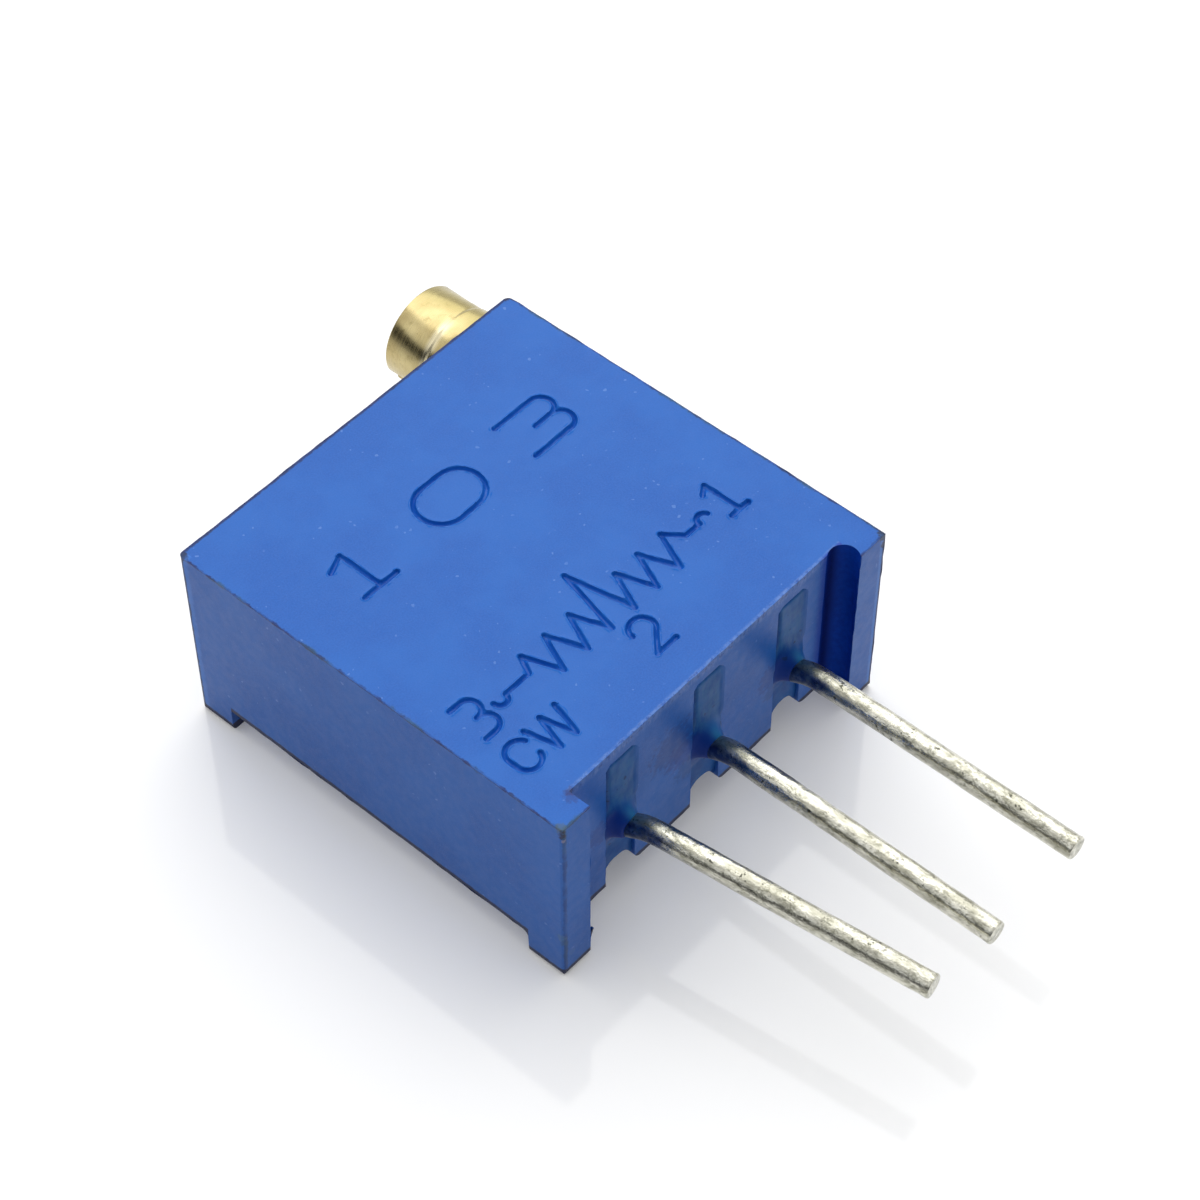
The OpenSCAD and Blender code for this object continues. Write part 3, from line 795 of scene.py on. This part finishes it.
class Nodes:
    """Short way to write a node tree: most calls return an output socket."""

    def __init__(self, owner):
        owner.use_nodes = True
        self.owner = owner
        self.tree = owner.node_tree

    def put(self, socket, value):
        if isinstance(value, bpy.types.NodeSocket):
            self.tree.links.new(value, socket)
        elif value is not None:
            socket.default_value = value

    def node(self, kind, inputs=None, **props):
        """A new node, its properties set and its inputs given values or links."""
        n = self.tree.nodes.new(kind)
        for k, v in props.items():
            setattr(n, k, v)
        for k, v in (inputs or {}).items():
            self.put(n.inputs[k], v)
        return n

    def vmath(self, op, a, b, out="Vector"):
        inputs = {0: a, "Scale" if op == "SCALE" else 1: b}
        return self.node("ShaderNodeVectorMath", inputs, operation=op).outputs[out]

    def math(self, op, *values, clamp=False):
        return self.node("ShaderNodeMath", dict(enumerate(values)), operation=op, use_clamp=clamp).outputs[0]

    def times(self, a, b):
        return self.math("MULTIPLY", a, b)

    def plus(self, a, b, share=None):
        """The sum of a and b, or of a and a share of b."""
        return self.math("ADD", a, b if share is None else self.times(b, share))

    def gap(self, a, b):
        """How far apart a and b are."""
        return self.math("ABSOLUTE", self.math("SUBTRACT", a, b))

    def ramp(self, x, lo, hi, a=0.0, b=1.0, kind="SMOOTHSTEP"):
        """x taken from lo...hi to a...b, and held beyond them."""
        inputs = {"Value": x, "From Min": lo, "From Max": hi, "To Min": a, "To Max": b}
        return self.node("ShaderNodeMapRange", inputs, interpolation_type=kind).outputs[0]

    def mix(self, fac, a, b):
        return self.node("ShaderNodeMix", {"Factor": fac, 6: a, 7: b}, data_type="RGBA").outputs[2]

    def paint(self, base, mask, level, color):
        """Covers base with an sRGB color by level where mask is 1."""
        return self.mix(self.times(mask, level), base, lin(*color))

    def xyz(self, vector):
        return self.node("ShaderNodeSeparateXYZ", {0: vector}).outputs


class Material(Nodes):
    """The empty tree of a new material, with the place in millimetres as mm."""

    def __init__(self, name):
        super().__init__(bpy.data.materials.new(name))
        self.tree.nodes.clear()
        self.mm = self.vmath("SCALE", self.node("ShaderNodeTexCoord").outputs["Object"], 1000.0)

    def axis(self, k):
        return self.xyz(self.mm)[k]

    def facing(self, k):
        """One part of the surface's own normal."""
        return self.xyz(self.node("ShaderNodeTexCoord").outputs["Normal"])[k]

    def attr(self, name):
        return self.node("ShaderNodeAttribute", attribute_name=name).outputs["Fac"]

    def noise(self, scale, detail=3, rough=0.55, stretch=(1, 1, 1), seed=0):
        place = self.mm
        if stretch != (1, 1, 1) or seed:
            moved = (seed, seed * 0.7, seed * 1.3)
            inputs = {"Vector": place, "Scale": stretch, "Location": moved}
            place = self.node("ShaderNodeMapping", inputs).outputs[0]
        inputs = {"Vector": place, "Scale": scale, "Detail": detail, "Roughness": rough}
        return self.node("ShaderNodeTexNoise", inputs).outputs["Fac"]

    def bump(self, height, distance, strength, normal=None):
        inputs = {"Height": height, "Distance": distance * MM, "Strength": strength, "Normal": normal}
        return self.node("ShaderNodeBump", inputs).outputs[0]

    def surface(self, color, rough, metal=0, normal=None, level=None):
        inputs = {"Base Color": color, "Roughness": rough, "Metallic": metal, "Normal": normal,
                  "Specular IOR Level": level}
        return self.node("ShaderNodeBsdfPrincipled", inputs).outputs[0]

    def done(self, surface):
        """The material, once its surface is linked to the output."""
        self.node("ShaderNodeOutputMaterial", {0: surface})
        return self.owner


class CaseMaterial(Material):
    """Adds the distances in mm that the case's wear, painted highlights and painted shade follow, and a wave
    that frays them.
    """

    def __init__(self, name):
        super().__init__(name)
        self.x, self.y, self.z = (self.axis(k) for k in range(3))
        self.side = self.math("SUBTRACT", HALF_W, self.math("ABSOLUTE", self.x))
        self.top = self.gap(TOP, self.z)
        self.far = self.gap(LENGTH, self.y)
        ends = self.math("MINIMUM", self.y, self.math("SUBTRACT", LENGTH, self.y))
        self.end = self.math("ABSOLUTE", ends)
        self.step = self.plus(self.gap(self.y, RECESS), self.math("LESS_THAN", self.side, RIB), 9)
        self.rag = self.times(self.math("SUBTRACT", self.noise(5.5, 4, 0.75, seed=5), 0.5), 0.2)


# Dirt and wear on the case, and painted shade left of the pins' slots: centre, radius, colour and strength
DIRT_AND_SHADE = (
    ((-4.71, 0.07, TOP), 0.15, (74, 94, 96), 0.55),
    ((-4.765, 0.0, TOP - 0.16), 0.13, (30, 34, 60), 0.85),
    ((-4.72, 0.0, TOP - 0.36), 0.06, (150, 145, 170), 0.6),
    ((-4.765, 0.07, -1.3), 0.13, (72, 116, 156), 0.5),
    ((-4.745, 0.0, -1.5), 0.12, (56, 96, 130), 0.5),
    ((-4.55, 0.0, -1.95), 0.1, (66, 114, 176), 0.4),
    ((4.73, 10.0, TOP), 0.13, (28, 32, 56), 0.8),
    ((4.765, 0.0, TOP), 0.2, (24, 44, 74), 0.85),
    ((4.765, 0.0, TOP - 0.3), 0.13, (16, 30, 74), 0.8),
    ((-4.76, 9.95, TOP), 0.16, (26, 52, 96), 0.8),
    # painted shade: soft dark patches on the recess wall left of each slot, where the pin shades it
    ((SLOT_X[0] - 0.6, RECESS, -0.05), 0.4, (12, 66, 150), 0.55),
    ((SLOT_X[0] - 0.5, RECESS, -0.6), 0.3, (16, 76, 150), 0.5),
    ((SLOT_X[1] - 0.7, RECESS, 0.1), 0.5, (12, 62, 156), 0.6),
    ((SLOT_X[1] - 0.55, RECESS, -0.5), 0.4, (18, 78, 150), 0.5),
    ((SLOT_X[1] - 1.0, RECESS, 0.6), 0.75, (16, 62, 140), 0.5),
    ((SLOT_X[2] - 0.6, RECESS, 0.0), 0.4, (12, 62, 150), 0.5),
    ((-4.05, 0.42, TOP), 0.18, (34, 52, 120), 0.45),
    ((-3.98, 0.5, TOP - 0.02), 0.14, (44, 46, 100), 0.6))


def blue_plastic(m):
    """The case's blue with its faint mottling, paler specks, and painted shade in the engraved marks."""
    base = m.mix(m.ramp(m.noise(0.55), 0.35, 0.65), lin(25, 92, 181), lin(31, 101, 190))
    base = m.mix(m.ramp(m.noise(26, 2), 0.3, 0.7, 0, 0.5), base, lin(36, 106, 198))
    speck = m.times(m.ramp(m.noise(8, 0, seed=3), 0.76, 0.82), m.ramp(m.noise(1.1, 1, seed=8), 0.45, 0.6))
    base = m.paint(base, speck, 0.3, (130, 170, 232))
    return m.paint(base, m.attr("stroke_shade"), 0.95, (10, 80, 176))


def dust_and_highlight_at_recess(m, base):
    """Pale band over the recess's edge, dusty and rubbed and partly a painted highlight on its rounding, with
    darker broken patches along it.
    """
    lean = m.plus(m.top, m.step, 3)
    dust_and_highlight = m.ramp(m.plus(lean, m.rag, 1.2), 0.1, 0.28, 1, 0)
    dust_and_highlight = m.times(dust_and_highlight, m.ramp(m.noise(10, 4, 0.75, (1, 1, 0.35), 6), 0.36, 0.64, 0.1, 0.6))
    base = m.mix(dust_and_highlight, base, lin(112, 146, 208))
    dark_break = m.times(m.ramp(lean, 0.1, 0.2, 1, 0), m.ramp(m.noise(7, 3, 0.7, seed=16), 0.52, 0.62))
    return m.paint(base, dark_break, 0.6, (20, 60, 140))


def groove_painted_shade(m, base):
    """Painted shade: the recess's wall darkens towards the groove."""
    x, y, r = GROOVE
    away = m.vmath("DISTANCE", m.vmath("MULTIPLY", m.mm, (1, 1, 0)), (x, y, 0), "Value")
    deep_shade = m.times(m.ramp(m.plus(away, m.rag, 0.25), r, r + 0.2, 1, 0), m.ramp(m.step, 0.02, 0.06, 1, 0))
    return m.paint(base, deep_shade, 0.85, (10, 62, 172))


def edge_lines(m, base):
    """A thin dark line and broken grey-green blots along the edges."""
    inset = m.gap(m.side, m.times(m.math("LESS_THAN", m.x, 0), EDGE_R))
    upper = m.plus(m.top, m.math("MINIMUM", m.side, m.end))
    near = m.math("MINIMUM", m.plus(inset, m.end), upper)
    upright = m.ramp(m.top, 0.12, 0.4, 1.0, 0.55)
    thin = m.times(m.plus(near, m.rag, 0.7), m.ramp(m.top, 0.12, 0.4, 1.0, 0.6))
    thin = m.times(m.ramp(thin, 0.02, 0.05, 1, 0), m.ramp(m.noise(2.5, seed=13), 0.35, 0.6, 0.3, 0.9))
    base = m.paint(base, thin, upright, (8, 34, 96))
    blot = m.times(m.ramp(m.plus(near, m.rag), 0.03, 0.08, 1, 0), m.ramp(m.noise(1.1, seed=11), 0.5, 0.62))
    return m.paint(base, blot, m.times(upright, 0.6), (40, 82, 108))


def edge_highlights_and_shade(m, base):
    """Paler strips at the far left and near right edges, rubbed and partly painted highlight on their
    roundings, and painted shade as dark lines where the edges turn away.
    """
    left = m.math("LESS_THAN", m.x, -HALF_W + 0.14)
    right = m.times(m.math("LESS_THAN", m.y, 0.08), m.math("GREATER_THAN", m.x, 0))
    for away, fray, lo, hi, where, level, color in (
            (m.far, 0.8, 0.19, 0.29, left, 0.5, (62, 132, 226)),
            (m.far, 0.5, 0.1, 0.14, left, 0.9, (16, 30, 62)),
            (m.plus(m.far, m.top), 0.5, 0.045, 0.08, 1.0, 0.8, (12, 34, 92)),
            (m.side, 0.4, 0.1, 0.16, right, 0.5, (72, 140, 232)),
            (m.side, 0.15, 0.035, 0.055, right, 0.85, (16, 30, 70))):
        strip = m.times(m.ramp(m.plus(away, m.rag, fray), lo, hi, 1, 0), where)
        base = m.paint(base, strip, level, color)
    return base


def low_edge_shade(m, base):
    """Painted shade: a dark line where the soles and the lower rim are cut."""
    feet = m.times(m.math("LESS_THAN", m.side, RIB + 0.01), m.math("LESS_THAN", m.end, FOOT + 0.01))
    low = m.gap(m.z, m.plus(m.times(feet, SOLE - BACK), BACK))
    low = m.math("SUBTRACT", low, m.times(feet, 0.09))
    low = m.ramp(m.plus(low, m.rag, 0.4), 0.09, 0.15, 1, 0)
    return m.paint(base, m.times(low, m.ramp(m.facing(2), -0.95, -0.7)), 0.95, (4, 13, 58))


def dirt_and_shade(m, base):
    for centre, radius, color, level in DIRT_AND_SHADE:
        away = m.math("DIVIDE", m.vmath("DISTANCE", m.mm, centre, "Value"), radius)
        rag = m.math("SUBTRACT", m.noise(9, 3, 0.7, seed=radius * 7), 0.5)
        base = m.paint(base, m.ramp(m.plus(away, rag, 2), 0.55, 1.0, 1, 0), level, color)
    return base


def case_material(name, shine):
    m = CaseMaterial(name)
    base = blue_plastic(m)
    for layer in (dust_and_highlight_at_recess, groove_painted_shade, edge_lines, edge_highlights_and_shade, low_edge_shade, dirt_and_shade):
        base = layer(m, base)
    rough = m.ramp(m.noise(5, seed=2), 0.3, 0.7, 0.34, 0.44)
    bump = m.bump(m.noise(30), 0.004, 0.5)
    bump = m.bump(m.noise(1.3, 2, seed=4), 0.02, 0.35, bump)
    return m.done(m.surface(base, rough, normal=bump, level=shine))


def groove_shade_material():
    """The same blue down in the groove, darker towards its middle as painted shade, where nothing bright is
    mirrored.
    """
    m = Material("case_blue_groove_shade")
    base = m.mix(m.ramp(m.gap(m.axis(0), GROOVE[0] + 0.02), 0.02, 0.26), lin(6, 26, 96), lin(12, 66, 178))
    base = m.mix(m.ramp(m.noise(9), 0.3, 0.7, 0, 0.35), base, lin(10, 40, 130))
    bump = m.bump(m.noise(30), 0.004, 0.5)
    return m.done(m.surface(base, 0.5, normal=bump, level=0.03))


def low_edge_shade_material():
    """Painted shade: a dark rounding along the lower edges of the case."""
    m = Material("case_blue_low_edge_shade")
    base = m.mix(m.noise(6), lin(3, 10, 50), lin(9, 24, 84))
    return m.done(m.surface(base, 0.6, level=0.0))


def resin_material():
    m = Material("sealing_resin")
    z = m.axis(2)
    cloud = m.ramp(m.noise(1.8), 0.35, 0.65)
    high = m.mix(cloud, lin(30, 86, 156), lin(42, 101, 170))
    low = m.mix(cloud, lin(20, 80, 156), lin(30, 94, 168))
    base = m.mix(m.ramp(z, 0.1, 0.7), low, high)
    # painted shade in the fill's hollows, then a painted highlight by the pin's root
    base = m.paint(base, m.attr("deep_shade"), 0.9, (7, 46, 134))
    base = m.paint(base, m.attr("teal_highlight"), 0.5, (36, 128, 170))
    streaks = m.ramp(m.noise(9, 3, 0.7, (1, 1, 0.3), 7), 0.4, 0.62, 0, 0.4)
    base = m.paint(base, streaks, m.ramp(z, 0.1, 0.5), (58, 112, 162))
    base = m.paint(base, m.ramp(m.noise(6, 0, seed=4), 0.76, 0.8), 0.6, (20, 44, 84))
    base = m.paint(base, m.attr("plain"), 0.9, (34, 96, 178))
    rough = m.ramp(m.noise(3, 2, seed=1), 0.3, 0.7, 0.34, 0.46)
    bump = m.bump(m.noise(4, 2), 0.02, 0.3)
    return m.done(m.surface(base, rough, normal=bump, level=0.12))


def tin_material():
    m = Material("tinned_wire")
    streak = m.noise(6.0, 4, 0.65, (1, 0.25, 1))
    grain = m.noise(15, 4, 0.75, (1, 0.55, 1), 2)
    base = m.mix(m.ramp(streak, 0.35, 0.65), lin(176, 174, 158), lin(228, 226, 212))
    dull = m.times(m.ramp(grain, 0.46, 0.6), m.ramp(m.noise(2.6, seed=4), 0.36, 0.58, 0.15, 1.0))
    base = m.paint(base, dull, 0.62, (112, 112, 94))
    pit = m.times(m.ramp(m.noise(12, 1, seed=6), 0.64, 0.7), m.ramp(m.noise(1.7, 2, seed=9), 0.42, 0.58))
    base = m.paint(base, pit, 0.85, (54, 54, 42))
    root = m.ramp(m.axis(1), -0.8, 0.0)
    base = m.paint(base, root, 0.4, (110, 116, 96))
    # a blue film of resin on the left of each root
    film = m.ramp(m.plus(m.axis(1), m.noise(2.2, seed=12), 0.9), -0.45, -0.1)
    film = m.times(film, m.ramp(m.plus(m.facing(0), streak, 0.3), -0.3, -0.6))
    base = m.paint(base, film, m.ramp(m.noise(3.5, seed=14), 0.35, 0.6, 0.35, 0.85), (30, 56, 104))
    rough = m.plus(m.ramp(grain, 0.3, 0.7, 0.07, 0.24), root, 0.2)
    bump = m.bump(m.noise(20, 4, 0.7, (1, 0.6, 1)), 0.009, 0.7)
    bump = m.bump(m.noise(7, 3, 0.6, (1, 0.35, 1)), 0.026, 0.55, bump)
    return m.done(m.surface(base, rough, 1.0, bump))


def brass_material():
    m = Material("screw_brass")
    rings = m.noise(3.0, stretch=(0.2, 16, 0.2))
    base = m.mix(m.ramp(m.noise(1.4, seed=3), 0.35, 0.65), lin(186, 168, 118), lin(202, 186, 136))
    tarnish = m.plus(m.math("SUBTRACT", m.axis(0), SCREW_X), m.noise(1.6, seed=5), 0.5)
    base = m.mix(m.ramp(tarnish, 0.0, 0.5, 0, 0.75), base, lin(164, 152, 100))
    base = m.paint(base, m.ramp(m.noise(4, 4, 0.7, seed=7), 0.54, 0.72), 0.45, (136, 122, 74))
    # painted highlight: a pale crescent on the lit side of the worn shoulder
    away = m.plus(m.gap(m.axis(1), SHOULDER + 0.01), m.noise(5, seed=15), 0.05)
    worn = m.times(m.ramp(away, 0.06, 0.2, 1, 0), m.ramp(m.axis(0), SCREW_X - 0.4, SCREW_X, 1, 0))
    base = m.paint(base, worn, 0.6, (250, 240, 206))
    rough = m.ramp(rings, 0.3, 0.7, 0.18, 0.3)
    return m.done(m.surface(base, rough, 1.0, m.bump(rings, 0.004, 0.25)))


def plain_material(name, color, rough, metal=0.0, scale=6.0, spread=0.12, bump=0.006):
    """Even material with a fine grain, for the pieces inside the case."""
    m = Material(name)
    other = tuple(min(1, c * (1 - spread * 2)) for c in color[:3]) + (1,)
    base = m.mix(m.ramp(m.noise(scale), 0.3, 0.7), color, other)
    rough = m.ramp(m.noise(scale * 2, 2, seed=3), 0.3, 0.7, rough * 0.85, min(1, rough * 1.15))
    return m.done(m.surface(base, rough, metal, m.bump(m.noise(scale * 3), bump, 0.5)))


# ---- the pieces ----

def settle(obj, body, material, node):
    """Gives a piece its material, body, slot and clean shading."""
    obj.data.materials.append(material)
    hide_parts(node)
    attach(obj, body)
    mod = obj.modifiers.new("normals", "WEIGHTED_NORMAL")
    mod.keep_sharp = True
    mod.weight = 80


def sharpen(obj, degrees):
    """Marks the edges over an angle as sharp, so that shading breaks there."""
    bm = bmesh.new()
    bm.from_mesh(obj.data)
    for e in bm.edges:
        if len(e.link_faces) == 2:
            e.smooth = e.calc_face_angle(0) < math.radians(degrees)
    bm.to_mesh(obj.data)
    bm.free()


def face_kind(face):
    """Which of the case's materials a face has: 0 plain, 1 groove in painted shade, 2 low edge in painted
    shade, 3 other rounded edge.
    """
    x, y, z = face.center / MM
    normal = face.normal
    on_foot = min(y, LENGTH - y) < FOOT + 0.01 and HALF_W - abs(x) < RIB + 0.01
    if z - (SOLE if on_foot else BACK) < (0.16 if on_foot else 0.06) and -0.97 < normal.z < -0.1:
        return 2
    if math.hypot(x - GROOVE[0], y - GROOVE[1]) < GROOVE[2] + 0.006 and y > 0.02 and abs(normal.z) < 0.5:
        return 1
    at_edge = HALF_W - abs(x) < 0.1 or TOP - z < 0.06 or y < 0.06 or LENGTH - y < 0.1
    near_left = x < 0 and y < 0.1 and abs(normal.z) < 0.1
    return 3 if max(abs(v) for v in normal) < 0.985 and at_edge and not near_left else 0


def dress_case():
    case = build_case()
    sharpen(case, 40)
    settle(case, "case", case_material("case_blue", 0.26), "housing")
    for material in (groove_shade_material(), low_edge_shade_material(), case_material("case_blue_edge", 0.06)):
        case.data.materials.append(material)
    for face in case.data.polygons:
        face.material_index = face_kind(face)


def dress_pins():
    tin = tin_material()
    for n in (1, 2, 3):
        pin = build_pin(n)
        sharpen(pin, 50)
        settle(pin, "case", tin, f"terminal_pin_{n}")


def finish_inside():
    """Plain finishes for the hidden pieces, which keep their CAD meshes."""
    ink = plain_material("conductive_ink", lin(205, 202, 190), 0.5, 0.8)
    solder = plain_material("solder", lin(196, 195, 188), 0.3, 1.0, 4, 0.15, 0.02)
    finishes = {
        "ceramic_substrate": plain_material("ceramic", lin(240, 238, 228), 0.7, spread=0.04),
        "resistive_track": plain_material("resistive_ink", lin(44, 43, 46), 0.55, scale=20),
        "collector_track": ink, "termination_1": ink, "termination_3": ink,
        "solder_joint_1": solder, "solder_joint_2": solder, "solder_joint_3": solder,
        "retaining_clip": plain_material("clip_steel", lin(190, 192, 196), 0.35, 1.0),
        "o_ring": plain_material("ring_rubber", lin(32, 32, 33), 0.6),
        "rotor_gear": plain_material("gear_plastic", lin(228, 222, 204), 0.45, spread=0.05),
        "wiper_contact": plain_material("contact_metal", lin(214, 190, 128), 0.3, 1.0)}
    for name, material in finishes.items():
        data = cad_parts[name].data
        data.materials.clear()
        data.materials.append(material)


dress_case()
resin = build_resin()
sharpen(resin, 50)
settle(resin, "case", resin_material(), "back_seal")
dress_pins()
screw = build_screw()
sharpen(screw, 35)
settle(screw, "screw", brass_material(), "adjustment_screw")
finish_inside()


# ---- floor, light and camera ----

FLOOR_HALF = 600
FLOOR_LIFT = 0.16
WORLD_LOW, WORLD_HIGH = 0.17, 0.95
BRIGHT_SIDE = (0.45, 0.35, 0.8)
CAMERA_AT = (-28.4943, -21.7346, 47.3805)
CAMERA_BACK = (-0.48132, -0.42236, 0.76809)
CAMERA_LENS = 91.617


def floor_material():
    """White that shows a little brighter to the camera and in mirrors than it lights the part."""
    m = Material("floor_white")
    white = m.surface((0.87, 0.87, 0.87, 1), 0.08, level=0.5)
    path = m.node("ShaderNodeLightPath").outputs
    seen = m.plus(path["Is Camera Ray"], path["Is Glossy Ray"])
    seen = m.math("ADD", seen, path["Is Transmission Ray"], clamp=True)
    glow = m.node("ShaderNodeEmission", {"Color": (1, 1, 1, 1), "Strength": m.times(seen, FLOOR_LIFT)})
    return m.done(m.node("ShaderNodeAddShader", {0: white, 1: glow.outputs[0]}).outputs[0])


def build_stage(cells=8):
    bm = bmesh.new()
    at = [FLOOR_HALF * (2 * i / cells - 1) for i in range(cells + 1)]
    add_net(bm, [[bm.verts.new((x, y, SOLE)) for x in at] for y in at])
    floor = to_object(bm, "floor")
    floor.data.materials.append(floor_material())


def build_world():
    """Studio surroundings: bright above and behind, with a dark and a pale patch to the left."""
    world = bpy.data.worlds.new("studio")
    scene.world = world
    m = Nodes(world)
    way = m.node("ShaderNodeTexCoord").outputs["Generated"]
    lean = m.vmath("DOT_PRODUCT", way, Vector(BRIGHT_SIDE).normalized(), "Value")
    level = m.ramp(lean, 0.0, 0.7, WORLD_LOW, WORLD_HIGH)
    x, y, z = m.xyz(way)
    beside = m.times(m.ramp(x, -0.3, -0.55), m.ramp(y, -0.1, 0.15))
    dark = m.times(m.times(m.ramp(z, 0.42, 0.36), m.ramp(z, 0.08, 0.14)), beside)
    pale = m.times(m.times(m.ramp(z, 0.36, 0.44), m.ramp(z, 0.85, 0.6)), beside)
    shaded = m.times(level, m.ramp(dark, 0.0, 1.0, 1.0, 0.08, "LINEAR"))
    back = m.tree.nodes["Background"]
    m.put(back.inputs["Strength"], m.math("MULTIPLY_ADD", pale, 0.52, shaded))
    m.put(back.inputs["Color"], m.mix(level, (0.96, 0.985, 1.03, 1), (1, 1, 1, 1)))


def area_light(name, at, aim, size, power):
    light = bpy.data.lights.new(name, "AREA")
    light.shape = "RECTANGLE"
    light.size, light.size_y = size[0] * MM, size[1] * MM
    light.energy = power
    obj = bpy.data.objects.new(name, light)
    scene.collection.objects.link(obj)
    obj.location = Vector(at) * MM
    obj.rotation_euler = (Vector(at) - Vector(aim)).to_track_quat("Z", "Y").to_euler()


def build_camera():
    lens = bpy.data.cameras.new("camera")
    lens.sensor_width = 36
    lens.lens = CAMERA_LENS
    lens.clip_start = 0.001
    lens.clip_end = 10
    camera = bpy.data.objects.new("camera", lens)
    scene.collection.objects.link(camera)
    camera.rotation_mode = "QUATERNION"
    camera.rotation_quaternion = Vector(CAMERA_BACK).normalized().to_track_quat("Z", "Y")
    camera.location = Vector(CAMERA_AT) * MM
    scene.camera = camera


build_stage()
build_world()
area_light("softbox", (70, 80, 130), (0, 4, 0), (220, 220), 0.185)
scene.view_settings.view_transform = "Standard"
build_camera()
